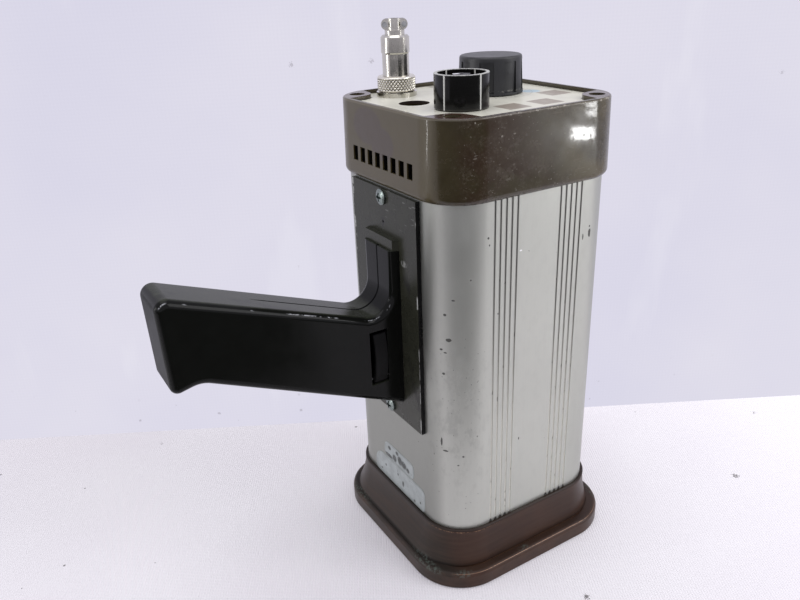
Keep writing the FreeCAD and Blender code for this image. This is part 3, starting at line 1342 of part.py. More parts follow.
def make_thumb_bar():
    """Convex bar in the handle's side, its pin, and the switch with the plunger it presses."""
    middle = plate_face - s.window_reach
    width = s.window_width - s.bar_gap * 2
    low = s.window_low + s.bar_gap
    high = s.window_low + s.window_height - s.bar_gap
    chord = high - low
    bulge_radius = (chord * chord / 4 + s.bar_bulge * s.bar_bulge) / (s.bar_bulge * 2)
    body = new_body("thumb_bar")
    shape = Drawing(body, "YZ", middle - width / 2)
    shape.outline([(bar_back(), low), (bar_back(), high), (bar_face(), high),
                   (bar_face(), low, bulge_radius)])
    shape.pad(width)
    bore = Drawing(body, "YZ", middle - width / 2).circle(bar_pin_y(), bar_pin_z(),
                                                          s.bar_pin_radius + s.running_gap)
    bore.pocket(Reversed=True)
    named("thumb_bar_pin", rod(s.bar_pin_radius, s.bar_pin_length, middle - s.bar_pin_length / 2,
                               bar_pin_y(), bar_pin_z(), "x"))
    level = bar_pin_z() + s.plunger_level
    plunger_start = bar_back() + s.plunger_gap
    named("handle_switch_plunger", rod(s.plunger_radius, s.plunger_length, middle, plunger_start, level, "y"))
    switch_face = bar_back() + s.micro_gap
    case = block(s.micro_width, s.micro_depth, s.micro_height, middle - s.micro_width / 2, switch_face,
                 level - s.micro_height / 2)
    bore = rod(s.plunger_radius + s.running_gap, s.micro_plunger_bore, middle, switch_face, level, "y")
    named("handle_switch_body", cut(case, bore))


def make_chassis():
    """Folded sheet: an upright behind the handle plate and a shelf over the lamp socket."""
    half = s.chassis_width / 2
    upright = block(s.chassis_sheet, s.chassis_width, s.chassis_top - shelf_underside, -tube_inside, -half,
                    shelf_underside)
    shelf = block(s.shelf_reach, s.chassis_width, s.chassis_sheet, -tube_inside, -half, shelf_underside)
    holes = [rod(s.plate_screw_shank + s.running_gap, s.chassis_sheet, -tube_inside, 0, level, "x")
             for level in (lower_plate_screw, upper_plate_screw)]
    middle = (s.mount_screw_low + s.mount_screw_high) / 2
    holes.append(rod(s.handle_wire_bore, s.chassis_sheet, -tube_inside, 0, middle, "x"))
    holes += [rod(s.shelf_screw_shank, s.chassis_sheet, x, y, shelf_underside)
              for x, y in shelf_screw_places()]
    named("chassis", cut(joined(upright, shelf), *holes))
    screws = [screw(s.shelf_screw_head, s.shelf_screw_head_height, s.shelf_screw_shank - s.fit_gap / 2,
                    s.shelf_screw_length, x, y, level, "z", -1)
              for (x, y), level in zip(shelf_screw_places(), shelf_screw_levels())]
    named("shelf_screws", together(*screws))


def shelf_screw_places():
    """Screws of the capacitor clip's two feet and the transformer strap's two feet."""
    clip = s.storage_radius + s.clip_wall + s.clip_foot / 2
    strap = s.core_length / 2 + s.strap_sheet + s.strap_foot / 2
    return [(s.storage_x - clip, s.storage_y), (s.storage_x + clip, s.storage_y),
            (s.transformer_x - strap, s.transformer_y), (s.transformer_x + strap, s.transformer_y)]


def shelf_screw_levels():
    return [shelf_top + s.clip_wall, shelf_top + s.clip_wall, shelf_top + s.strap_sheet,
            shelf_top + s.strap_sheet]


def make_board():
    """Circuit board on spacers in front of the chassis, with its larger parts."""
    half = s.board_width / 2
    back = s.chassis_sheet + s.spacer_length - tube_inside
    face = back + s.board_thickness
    low = shelf_top + s.board_lift
    across = half - s.board_inset
    levels = (low + s.board_inset, low + s.board_height - s.board_inset)
    places = [(across * side, level) for side in (-1, 1) for level in levels]
    board = block(s.board_thickness, s.board_width, s.board_height, back, -half, low)
    holes = [rod(s.board_screw_shank + s.fit_gap, s.board_thickness, back, y, z, "x") for y, z in places]
    named("main_circuit_board", cut(board, *holes))
    spacers = [cut(rod(s.spacer_radius, s.spacer_length, back - s.spacer_length, y, z, "x"),
                   rod(s.board_screw_shank + s.fit_gap, s.spacer_length, back - s.spacer_length, y, z, "x"))
               for y, z in places]
    named("board_spacers", together(*spacers))
    screws = [screw(s.board_screw_head, s.board_screw_head_height, s.board_screw_shank,
                    s.board_thickness + s.spacer_length, face, y, z, "x", -1) for y, z in places]
    named("board_screws", together(*screws))
    films = [block(s.film_depth, s.film_width, s.film_height, face, -s.film_width / 2,
                   low + s.film_lift + s.film_pitch * count) for count in range(int(s.film_count.number))]
    named("film_capacitors", together(*films))
    sink_low = low + s.sink_lift
    sink = cut(block(s.sink_depth, s.sink_width, s.sink_height, face, -s.sink_width / 2, sink_low),
               block(s.sink_depth, s.sink_width - s.sink_sheet * 2, s.sink_height, face + s.sink_sheet,
                     -s.sink_width / 2 + s.sink_sheet, sink_low))
    named("heat_sink", sink)
    named("power_transistor", block(s.transistor_depth, s.transistor_width, s.transistor_height,
                                    face + s.sink_sheet, -s.transistor_width / 2,
                                    sink_low + (s.sink_height - s.transistor_height) / 2))


def make_storage_capacitor():
    """Large upright can in a sheet ring with two screwed feet."""
    can = rod(s.storage_radius, s.storage_height, s.storage_x, s.storage_y, shelf_top)
    named("storage_capacitor", can)
    outer = s.storage_radius + s.clip_wall
    reach = outer + s.clip_foot
    ring = rod(outer, s.clip_height, s.storage_x, s.storage_y, shelf_top)
    foot = block(reach * 2, s.clip_foot, s.clip_wall, s.storage_x - reach, s.storage_y - s.clip_foot / 2,
                 shelf_top)
    room = rod(s.storage_radius + s.fit_gap, s.clip_height, s.storage_x, s.storage_y, shelf_top)
    holes = [rod(s.shelf_screw_shank + s.fit_gap, s.clip_wall, x, y, shelf_top)
             for x, y in shelf_screw_places()[:2]]
    named("capacitor_clip", cut(joined(ring, foot), room, *holes))


def make_transformer():
    """Laminated core with two windows, a coil round its middle limb and a strap over it."""
    x0 = s.transformer_x - s.core_length / 2
    y0 = s.transformer_y - s.core_width / 2
    window = (s.core_length - s.core_limb * 2 - s.core_middle) / 2
    window_height = s.core_height - s.core_limb * 2
    window_z = shelf_top + s.core_limb
    left = x0 + s.core_limb
    right = left + window + s.core_middle
    core = cut(block(s.core_length, s.core_width, s.core_height, x0, y0, shelf_top),
               block(window, s.core_width, window_height, left, y0, window_z),
               block(window, s.core_width, window_height, right, y0, window_z))
    named("transformer_core", core)
    gap = s.coil_gap
    coil_width = window * 2 + s.core_middle - gap * 2
    coil_height = window_height - gap * 2
    coil_depth = s.core_width + s.coil_bulge * 2
    limb_depth = s.core_width + gap * 2
    coil = cut(block(coil_width, coil_depth, coil_height, left + gap, y0 - s.coil_bulge, window_z + gap),
               block(s.core_middle + gap * 2, limb_depth, coil_height, left + window - gap, y0 - gap,
                     window_z + gap))
    named("transformer_coil", coil)
    over = s.strap_sheet
    span = s.core_length + over * 2
    strap_y = s.transformer_y - s.strap_width / 2
    legs = block(span, s.strap_width, s.core_height + over, x0 - over, strap_y, shelf_top)
    reach = span + s.strap_foot * 2
    feet = block(reach, s.strap_width, over, x0 - over - s.strap_foot, strap_y, shelf_top)
    room = block(s.core_length, s.strap_width, s.core_height, x0, strap_y, shelf_top)
    holes = [rod(s.shelf_screw_shank + s.fit_gap, over, x, y, shelf_top) for x, y in shelf_screw_places()[2:]]
    named("transformer_strap", cut(joined(legs, feet), room, *holes))


def make_trigger_coil():
    """Small potted coil that starts the flash."""
    named("trigger_coil", rod(s.trigger_radius, s.trigger_height, s.trigger_x, s.trigger_y, shelf_top))


def build():
    make_body_extrusion()
    make_front_bezel()
    make_rear_cap()
    make_control_panel()
    make_corner_screws()
    make_window()
    make_reflector()
    make_lamp()
    make_frequency_control()
    make_range_control()
    make_socket()
    make_plug()
    make_handle_plate()
    make_handle_half("handle_near_half", False)
    make_handle_half("handle_far_half", True)
    make_handle_screws()
    make_thumb_bar()
    make_chassis()
    make_board()
    make_storage_capacitor()
    make_transformer()
    make_trigger_coil()


def check():
    """Stops before anything is written if a feature failed or a piece isn't a sound solid."""
    doc.recompute()
    for item in doc.Objects:
        if "Invalid" in item.State or "Error" in item.State:
            raise RuntimeError("failed: " + item.Label + " " + str(item.State))
        if item.isDerivedFrom("PartDesign::Feature") and len(item.Shape.Solids) != 1:
            raise RuntimeError("not one solid: " + item.Label)
    for piece in pieces:
        if piece.Shape.isNull() or not piece.Shape.isValid() or not piece.Shape.Solids:
            raise RuntimeError("not a sound solid: " + piece.Label)


def write():
    os.makedirs("parts", exist_ok=True)
    for piece in pieces:
        piece.Shape.exportStep("parts/" + piece.Label + ".step")
        print(piece.Label, "solids", len(piece.Shape.Solids), "volume", round(piece.Shape.Volume, 1))


build()
check()
write()
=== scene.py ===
"""Looks of a hand-held xenon stroboscope that stands on its lamp end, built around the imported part.

Blender's units are metres. Sizes in the classes are metres too, and the shaders work in millimetres.
"""

from __future__ import annotations

import json
import logging
import math
from dataclasses import dataclass, field, replace
from enum import Enum
from functools import cached_property, reduce
from typing import Iterable, Union

import bmesh
import bpy
from mathutils import Matrix, Vector

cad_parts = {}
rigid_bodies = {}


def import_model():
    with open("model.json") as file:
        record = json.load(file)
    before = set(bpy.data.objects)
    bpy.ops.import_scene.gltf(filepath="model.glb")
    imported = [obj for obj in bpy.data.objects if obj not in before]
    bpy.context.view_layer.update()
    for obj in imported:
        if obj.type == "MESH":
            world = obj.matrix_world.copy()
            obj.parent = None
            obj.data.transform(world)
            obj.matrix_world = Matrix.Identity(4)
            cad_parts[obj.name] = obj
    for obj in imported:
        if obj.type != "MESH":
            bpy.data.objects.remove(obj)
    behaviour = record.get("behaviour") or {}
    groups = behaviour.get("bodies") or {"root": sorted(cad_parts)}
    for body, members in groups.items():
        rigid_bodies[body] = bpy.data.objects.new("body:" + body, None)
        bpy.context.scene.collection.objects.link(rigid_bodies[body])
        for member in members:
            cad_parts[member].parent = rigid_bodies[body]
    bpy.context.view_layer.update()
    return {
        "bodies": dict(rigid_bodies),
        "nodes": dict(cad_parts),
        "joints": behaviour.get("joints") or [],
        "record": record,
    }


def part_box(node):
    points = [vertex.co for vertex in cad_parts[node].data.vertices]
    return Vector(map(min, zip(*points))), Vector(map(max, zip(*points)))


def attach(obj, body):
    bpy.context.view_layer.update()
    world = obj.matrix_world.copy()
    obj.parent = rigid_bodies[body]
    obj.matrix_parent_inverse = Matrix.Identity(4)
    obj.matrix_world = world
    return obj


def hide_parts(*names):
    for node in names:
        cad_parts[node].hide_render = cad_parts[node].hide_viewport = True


log = logging.getLogger("stroboscope")

MM = 0.001
HAIR = 1e-6

Pair = tuple[float, float]
Triple = tuple[float, float, float]
Scuff = tuple[float, float, float, float]
Colour = Triple
Socket = bpy.types.NodeSocket
Value = Union[float, "Wire"]
Paint = Union[Colour, "Wire"]


class Grain(Enum):
    """How a surface's fine grain is stretched along X, Y and Z."""

    EVEN = (1.0, 1.0, 1.0)
    UPRIGHT = (1.0, 1.0, 0.012)


class Seen(Enum):
    """Which rays meet a stage piece."""

    BY_ALL = "all"
    BY_VIEW_AND_GLOSS = "view and gloss"
    BY_GLOSS = "gloss"


class Wire:
    """An output socket of a material, with arithmetic that adds Math nodes."""

    def __init__(self, bench: "Bench", socket: Socket) -> None:
        """Keeps the socket and the material it belongs to."""
        self.bench = bench
        self.socket = socket

    def sibling(self, output: Union[int, str]) -> "Wire":
        """Another output of the same node."""
        return Wire(self.bench, self.socket.node.outputs[output])

    def math(self, operation: str, *others: Value, swapped: bool = False) -> "Wire":
        """Adds a Math node.

        Args:
            operation: The node's operation.
            others: The other operands.
            swapped: True if this wire is the second operand.

        Returns:
            The node's result.
        """
        operands = [*others, self] if swapped else [self, *others]
        return self.bench.node("ShaderNodeMath", {"operation": operation}, dict(enumerate(operands)))

    def __add__(self, other: Value) -> "Wire":
        """This plus another value."""
        return self.math("ADD", other)

    __radd__ = __add__

    def __sub__(self, other: Value) -> "Wire":
        """This less another value."""
        return self.math("SUBTRACT", other)

    def __rsub__(self, other: Value) -> "Wire":
        """Another value less this."""
        return self.math("SUBTRACT", other, swapped=True)

    def __mul__(self, other: Value) -> "Wire":
        """This times another value."""
        return self.math("MULTIPLY", other)

    __rmul__ = __mul__

    def size(self) -> "Wire":
        """The value without its sign."""
        return self.math("ABSOLUTE")

    def most(self, other: Value) -> "Wire":
        """The larger of this and another value."""
        return self.math("MAXIMUM", other)

    def least(self, other: Value) -> "Wire":
        """The smaller of this and another value."""
        return self.math("MINIMUM", other)

    def folded(self, pitch: float) -> "Wire":
        """The distance to the nearest multiple of a pitch."""
        return self.math("PINGPONG", pitch / 2)

    def rise(self, low: float, high: float) -> "Wire":
        """A smooth step.

        Args:
            low: Where the step starts.
            high: Where the step ends. Below low, the step falls.

        Returns:
            A value from 0 to 1.
        """
        flipped = high < low
        ends = {1: min(low, high), 2: max(low, high), 3: float(flipped), 4: float(not flipped)}
        settings = {"interpolation_type": "SMOOTHSTEP"}
        return self.bench.node("ShaderNodeMapRange", settings, {0: self, **ends})

    def within(self, low: float, high: float, soft: float) -> "Wire":
        """A mask that is 1 between two values.

        Args:
            low: The lower end.
            high: The upper end.
            soft: The width of each edge.

        Returns:
            A mask from 0 to 1.
        """
        return self.rise(low - soft, low + soft) * self.rise(high + soft, high - soft)


class Bench:
    """The shader of a material or a world, being put together."""

    def __init__(self, owner: Union[bpy.types.Material, bpy.types.World],
                 end: str = "ShaderNodeOutputMaterial") -> None:
        """Empties the owner's node tree and keeps the type of its output node."""
        self.owner = owner
        self.end = end
        owner.use_nodes = True
        self.tree = owner.node_tree
        self.tree.nodes.clear()

    @cached_property
    def place(self) -> Wire:
        """The place on the surface, in millimetres."""
        found = self.node("ShaderNodeTexCoord", {}, {}, output="Object")
        return self.vector("SCALE", found, scale=1 / MM)

    @cached_property
    def axes(self) -> tuple[Wire, Wire, Wire]:
        """The place's three numbers."""
        return self.split(self.place)

    @property
    def around(self) -> tuple[Wire, Wire]:
        """The place round the housing's upright faces, and up them."""
        return self.x - self.y, self.z

    @property
    def x(self) -> Wire:
        """The place along X."""
        return self.axes[0]

    @property
    def y(self) -> Wire:
        """The place along Y."""
        return self.axes[1]

    @property
    def z(self) -> Wire:
        """The place along Z."""
        return self.axes[2]

    def close(self, shader: Wire) -> None:
        """Joins a shader to the output."""
        self.node(self.end, {}, {"Surface": shader}, output=None)

    def node(self, kind: str, settings: dict[str, object], inputs: dict[Union[int, str], object],
             output: Union[int, str, None] = 0) -> Wire | None:
        """Adds a node.

        Args:
            kind: The node's type.
            settings: Its properties, set first.
            inputs: Its sockets' values or wires, by number or name.
            output: The socket that is given back, or None for an output node.

        Returns:
            One of its outputs.
        """
        made = self.tree.nodes.new(kind)
        for key, value in settings.items():
            setattr(made, key, value)
        for key, value in inputs.items():
            if isinstance(value, Wire):
                self.tree.links.new(value.socket, made.inputs[key])
            elif isinstance(value, tuple) and len(value) == 3 and made.inputs[key].type == "RGBA":
                made.inputs[key].default_value = (*value, 1.0)
            else:
                made.inputs[key].default_value = value
        return None if output is None else Wire(self, made.outputs[output])

    def vector(self, operation: str, *operands: object, scale: Value | None = None,
               output: Union[int, str] = 0) -> Wire:
        """Adds a Vector Math node.

        Args:
            operation: The node's operation.
            operands: Vectors or wires.
            scale: The scale of a SCALE node.
            output: The socket that is given back.

        Returns:
            The node's result.
        """
        inputs: dict[Union[int, str], object] = dict(enumerate(operands))
        if scale is not None:
            inputs["Scale"] = scale
        return self.node("ShaderNodeVectorMath", {"operation": operation}, inputs, output)

    def split(self, vector: Wire) -> tuple[Wire, Wire, Wire]:
        """The three numbers of a vector."""
        first = self.node("ShaderNodeSeparateXYZ", {}, {0: vector})
        return first, first.sibling(1), first.sibling(2)

    def noise(self, scale: float, detail: float = 2.0, stretch: Triple = (1, 1, 1),
              rough: float = 0.5) -> Wire:
        """Cloudy noise.

        Args:
            scale: Clouds in one millimetre.
            detail: How many finer layers it has.
            stretch: Scale of each axis.
            rough: How strong the finer layers are.

        Returns:
            A value that spreads about 0.5.
        """
        place = self.place if stretch == (1, 1, 1) else self.vector("MULTIPLY", self.place, stretch)
        return self.node("ShaderNodeTexNoise", {"noise_dimensions": "3D"},
                         {"Vector": place, "Scale": scale, "Detail": detail, "Roughness": rough})

    def specks(self, spacing: float, radius: float, share: float,
               flat: tuple[Wire, Wire] | None = None) -> Wire:
        """Scattered specks of uneven size.

        Args:
            spacing: Distance between the places where a speck may be, in millimetres.
            radius: Their largest radius in millimetres.
            share: The share of places that have one.
            flat: The two places along a flat face, or none for specks spread through space.

        Returns:
            A mask.
        """
        drift = self.node("ShaderNodeTexNoise", {}, {"Vector": self.place, "Scale": 1.3}, output="Color")
        wobble = self.vector("SCALE", drift, scale=spacing * 0.12)
        spread = self.place
        if flat is not None:
            spread = self.node("ShaderNodeCombineXYZ", {}, dict(enumerate(flat)))
        place = self.vector("ADD", spread, wobble)
        settings = {"feature": "F1", "voronoi_dimensions": "3D" if flat is None else "2D"}
        found = self.node("ShaderNodeTexVoronoi", settings, {"Vector": place, "Scale": 1 / spacing})
        distance = found.sibling("Distance") * spacing
        lot, size, _ = self.split(found.sibling("Color"))
        reach = size.rise(0.0, 1.0) * radius
        return (reach - distance).rise(0.0, radius * 0.3) * lot.rise(share, share - 0.02)

    def scratches(self, along: Triple, scale: float, share: float) -> Wire:
        """Fine straight marks.

        Args:
            along: Scale of each axis, small along the marks.
            scale: How close the marks lie.
            share: How much of the surface they take, from 0 to 1.

        Returns:
            A mask.
        """
        lines = self.noise(scale, 1.0, along)
        return lines.rise(0.72 - share * 0.2, 0.76 - share * 0.2)

    def mixed(self, share: Value, first: Paint, second: Paint) -> Wire:
        """A mix of two colours."""
        settings = {"data_type": "RGBA", "blend_type": "MIX", "clamp_factor": True}
        return self.node("ShaderNodeMix", settings, {0: share, 6: first, 7: second}, output=2)

    def mottled(self, scale: float, dark: Paint, light: Paint) -> Wire:
        """A cloudy mix of two colours."""
        return self.mixed(self.noise(scale, 4.0).rise(0.3, 0.7), dark, light)

    def glow(self, colour: Paint, strength: Value = 1.0) -> Wire:
        """A shader that gives out light."""
        return self.node("ShaderNodeEmission", {}, {"Color": colour, "Strength": strength})

    def clear(self) -> Wire:
        """A shader that lets everything through."""
        return self.node("ShaderNodeBsdfTransparent", {}, {})

    def blend(self, share: Value, first: Wire, second: Wire) -> Wire:
        """A mix of two shaders."""
        return self.node("ShaderNodeMixShader", {}, {0: share, 1: first, 2: second})

    def polar(self, x: float, y: float) -> tuple[Wire, Wire]:
        """Radius in millimetres and angle in degrees about an upright axis."""
        across, along = self.x - x, self.y - y
        radius = (across * across + along * along).math("SQRT")
        angle = along.math("ARCTAN2", across) * (180 / math.pi)
        return radius, angle

    def away(self, centre: Triple, reach: Triple) -> Wire:
        """How far off an ellipsoid's centre a place is, where 1 is on its surface."""
        offset = self.vector("SUBTRACT", self.place, centre)
        return self.vector("LENGTH", self.vector("DIVIDE", offset, reach), output="Value")

    def spot(self, centre: Triple, reach: Triple, soft: float) -> Wire:
        """A mask that is 1 inside an ellipsoid.

        Args:
            centre: Its centre in millimetres.
            reach: Its half sizes in millimetres.
            soft: Softness of its edge, as a share of its size.

        Returns:
            A mask.
        """
        return self.away(centre, reach).rise(1 + soft, 1 - soft)


def any_of(masks: Iterable[Wire]) -> Wire:
    """The largest of some masks."""
    return reduce(Wire.most, masks)


def new_material(name: str) -> Bench:
    """Starts an empty material."""
    return Bench(bpy.data.materials.new(name))


@dataclass
class Layers:
    """What varies over a surface."""

    bench: Bench
    colour: Paint
    roughness: Value
    metallic: Value = 0.0
    height: Wire | None = None
    coat: Value = 0.0
    depth: float = 0.05

    def paint(self, share: Value, tint: Paint) -> None:
        """Lays a tint over the colour, as strongly as a mask says."""
        self.colour = self.bench.mixed(share, self.colour, tint)


@dataclass(frozen=True)
class Finish:
    """A finish with soft mottling and a fine grain.

    Sizes are millimetres.
    """

    name: str
    colour: Colour
    roughness: float = 0.4
    metallic: float = 0.0
    mottling: float = 0.08
    mottle_size: float = 9.0
    unevenness: float = 0.08
    grain: Grain = Grain.EVEN
    grain_size: float = 0.5
    grain_depth: float = 0.008
    coat: float = 0.0
    coat_roughness: float = 0.08
    ior: float = 1.5

    def base(self, bench: Bench) -> Layers:
        """The mottled ground under the finish's own layers.

        Args:
            bench: The material.

        Returns:
            The ground's layers.
        """
        dark = tuple(part * (1 - self.mottling) for part in self.colour)
        light = tuple(min(part * (1 + self.mottling), 1.0) for part in self.colour)
        colour = bench.mottled(1 / self.mottle_size, dark, light)
        fine = bench.noise(1 / self.grain_size, 2.0, self.grain.value)
        roughness = self.roughness + (bench.noise(2 / self.mottle_size, 3.0) - 0.5) * (2 * self.unevenness)
        return Layers(bench, colour, roughness, self.metallic, fine, self.coat, self.grain_depth)

    def layers(self, bench: Bench) -> Layers:
        """The finish's layers. A finish with marks of its own adds them here."""
        return self.base(bench)

    def constants(self) -> dict[str, object]:
        """Values that are the same all over, for the shader's own sockets."""
        return {"IOR": self.ior, "Coat Roughness": self.coat_roughness}

    def material(self) -> bpy.types.Material:
        """Makes the material.

        Returns:
            The material.
        """
        bench = new_material(self.name)
        found = self.layers(bench)
        inputs: dict[Union[int, str], object] = {
            "Base Color": found.colour, "Roughness": found.roughness, "Metallic": found.metallic,
            "Coat Weight": found.coat, **self.constants()}
        if found.height is not None:
            bump = {"Height": found.height, "Strength": 1.0, "Distance": found.depth * MM}
            inputs["Normal"] = bench.node("ShaderNodeBump", {}, bump)
        bench.close(bench.node("ShaderNodeBsdfPrincipled", {}, inputs))
        return bench.owner


@dataclass(frozen=True)
class CapPaint(Finish):
    """Satin brown paint of the rear cap, with blotches, scratches, specks and chipped edges, and painted
    light: a sheen on its -X face and the right of its -Y face, a highlight along its top edge and shade
    inside its vents.
    """

    top: float = 239.0
    half: float = 51.2
    wall: float = 50.9
    vents: Pair = (27.0, 232.0)
    red_brown_tone: Colour = (0.034, 0.017, 0.010)
    olive: Colour = (0.105, 0.082, 0.032)
    haze: Colour = (0.15, 0.125, 0.095)
    blotched: Colour = (0.060, 0.042, 0.034)
    inner_brown: Colour = (0.060, 0.028, 0.018)
    bared: Colour = (0.40, 0.37, 0.32)
    rim_highlight: Colour = (0.30, 0.26, 0.20)
    soil: Colour = (0.035, 0.024, 0.018)
    vent_shade: Colour = (0.006, 0.005, 0.004)

    def layers(self, bench: Bench) -> Layers:
        """Adds the cap's marks and painted light to its ground."""
        found = self.base(bench)
        near_face = bench.y.rise(-44.0, -50.5)
        left_face = bench.x.rise(-47.5, -51.2)
        cloud = bench.noise(0.05, 5.0, rough=0.6)
        mist = bench.noise(0.16, 5.0, rough=0.68)
        # a darker red-brown tone in clouds over the left part of the -Y face
        red = near_face * bench.x.rise(22.0, -22.0) * cloud.rise(0.36, 0.6)
        found.paint(red * 0.75, self.red_brown_tone)
        # painted sheen: the -X face and the right of the -Y face are painted a lighter olive, standing in
        # for reflected light
        painted_sheen = left_face * 0.55 + near_face * bench.x.rise(-10.0, 35.0) * cloud.rise(0.62, 0.38) * 0.6
        found.paint(painted_sheen, self.olive)
        grainy = bench.noise(0.9, 4.0, rough=0.75).rise(0.44, 0.72) * mist.rise(0.35, 0.65)
        found.paint(near_face * grainy * 0.42, self.haze)
        blotch = bench.spot((-51.5, 12.0, 229.0), (6.0, 13.0, 8.5), 0.12).most(
            bench.spot((-51.5, -1.0, 222.5), (6.0, 10.0, 7.5), 0.12))
        found.paint(blotch * 0.7, self.blotched)
        on_top = bench.z.rise(self.top - 0.25, self.top - 0.1)
        inner = bench.x.size().most(bench.y.size()).rise(self.half - 1.9, self.half - 2.6)
        found.paint(on_top * inner * 0.8, self.inner_brown)
        rub = bench.noise(0.5, 4.0, rough=0.7)
        edge = bench.z.within(self.top - 1.0, self.top - 0.2, 0.25) * near_face * bench.x.rise(-30.0, -5.0)
        grit = bench.specks(7.0, 0.42, 0.14, bench.around).most(
            bench.specks(2.6, 0.24, 0.3, bench.around) * 0.7) * near_face * 0.6
        chips = (edge * rub.rise(0.54, 0.62)).most(grit)
        fine = bench.scratches((0.1, 1.0, 1.4), 0.9, 0.2) * bench.noise(0.06).rise(0.52, 0.64) * near_face
        slant = bench.scratches((0.5, 1.0, 0.9), 0.8, 0.1) * near_face
        marks = chips.most(fine * 0.25).most(slant * 0.14)
        found.paint(marks, self.bared)
        # painted highlight: a thin lighter line along the cap's top outer edge
        rim = bench.z.within(self.top - 0.95, self.top - 0.35, 0.2) * 0.2
        found.paint(rim, self.rim_highlight)
        dirt = bench.z.rise(207.0, 202.8) * bench.noise(0.4, 3.0).rise(0.45, 0.6)
        found.paint(dirt * 0.4, self.soil)
        # painted shade: the walls inside the vents are painted near black
        reach, level = self.vents
        vent = bench.x.size().rise(self.wall + 0.15, self.wall) * bench.y.size().rise(reach + 0.5, reach)
        vent = vent * bench.z.rise(level + 0.5, level)
        found.paint(vent, self.vent_shade)
        worn = near_face * bench.noise(0.35, 4.0, rough=0.7).rise(0.52, 0.60)
        found.roughness += marks * 0.25 + left_face * 0.12 + mist.rise(0.45, 0.7) * 0.05
        found.coat *= 1 - worn * 0.8
        return found


@dataclass(frozen=True)
class BezelPaint(Finish):
    """Satin red-brown of the bezel, worn through to copper along one edge, with green dirt at its ledge,
    and painted shade on its -X side, on its lip's top and in the crease at its foot.
    """

    ledge: float = 9.5
    top: float = 30.4
    dirty: tuple[tuple[Triple, Triple], ...] = (
        ((-57.0, -40.0, 9.5), (3.0, 14.0, 2.4)), ((-49.0, -55.5, 9.5), (7.0, 3.5, 2.0)),
        ((-57.5, 38.0, 9.5), (2.0, 16.0, 2.4)), ((-8.0, -57.0, 9.3), (3.0, 1.5, 1.5)),
        ((56.0, -46.0, 9.5), (3.0, 9.0, 2.0)), ((30.0, 57.0, 9.5), (22.0, 2.0, 2.0)))
    shaded: Colour = (0.025, 0.020, 0.014)
    streaked: Colour = (0.080, 0.046, 0.031)
    brim_shadow: Colour = (0.016, 0.010, 0.007)
    copper: Colour = (0.42, 0.24, 0.15)
    flange_tint: Colour = (0.088, 0.043, 0.027)
    foot_crease_shadow: Colour = (0.010, 0.007, 0.005)
    green_dirt: Colour = (0.13, 0.16, 0.14)
    dust_tint: Colour = (0.36, 0.33, 0.29)

    def layers(self, bench: Bench) -> Layers:
        """Adds worn edges and dirt to the ground."""
        found = self.base(bench)
        left_face = bench.x.rise(-42.0, -52.0)
        rub = bench.noise(0.10, 4.0, rough=0.6)
        fine = bench.noise(1.1, 3.0)
        drawn = bench.noise(0.35, 3.0, (0.12, 0.12, 1.6)).rise(0.35, 0.7)
        found.paint(left_face * 0.75, self.shaded)
        found.paint(drawn * 0.25, self.streaked)
        brow = bench.z.within(self.ledge - 0.62, self.ledge - 0.52, 0.07)
        worn = brow * bench.y.rise(-50.0, -54.0) * rub.rise(0.30, 0.42)
        # painted shadow: the top of the bezel's lip is painted dark
        brim = bench.z.rise(self.top - 1.0, self.top - 0.5)
        near_corner = bench.spot((-38.0, -44.0, self.top - 1.2), (20.0, 14.0, 0.4), 0.4)
        worn = worn.most(near_corner * fine.rise(0.45, 0.6) * 0.4) * fine.rise(0.2, 0.5)
        found.paint(brim * 0.7, self.brim_shadow)
        found.paint(worn, self.copper)
        flange = bench.z.rise(self.ledge, self.ledge - 0.4)
        found.paint(flange * rub.rise(0.4, 0.65) * 0.35, self.flange_tint)
        # painted shadow: the flange's top by the tube's foot is darkened, more on the -X side
        crease = bench.z.within(self.ledge - 0.3, self.ledge + 1.4, 0.7) * (left_face * 0.5 + 0.4)
        found.paint(crease, self.foot_crease_shadow)
        soiled = any_of(bench.spot(centre, reach, 0.5) for centre, reach in self.dirty)
        dirt = soiled * bench.noise(0.7, 4.0, rough=0.7).rise(0.47, 0.60)
        found.paint(dirt * 0.5, self.green_dirt)
        dust = bench.specks(14.0, 0.4, 0.14, bench.around)
        found.paint(dust * 0.5, self.dust_tint)
        found.roughness += dirt * 0.3 + drawn * 0.06 + crease * 0.4 - worn * 0.12
        found.metallic = worn * 0.5
        return found


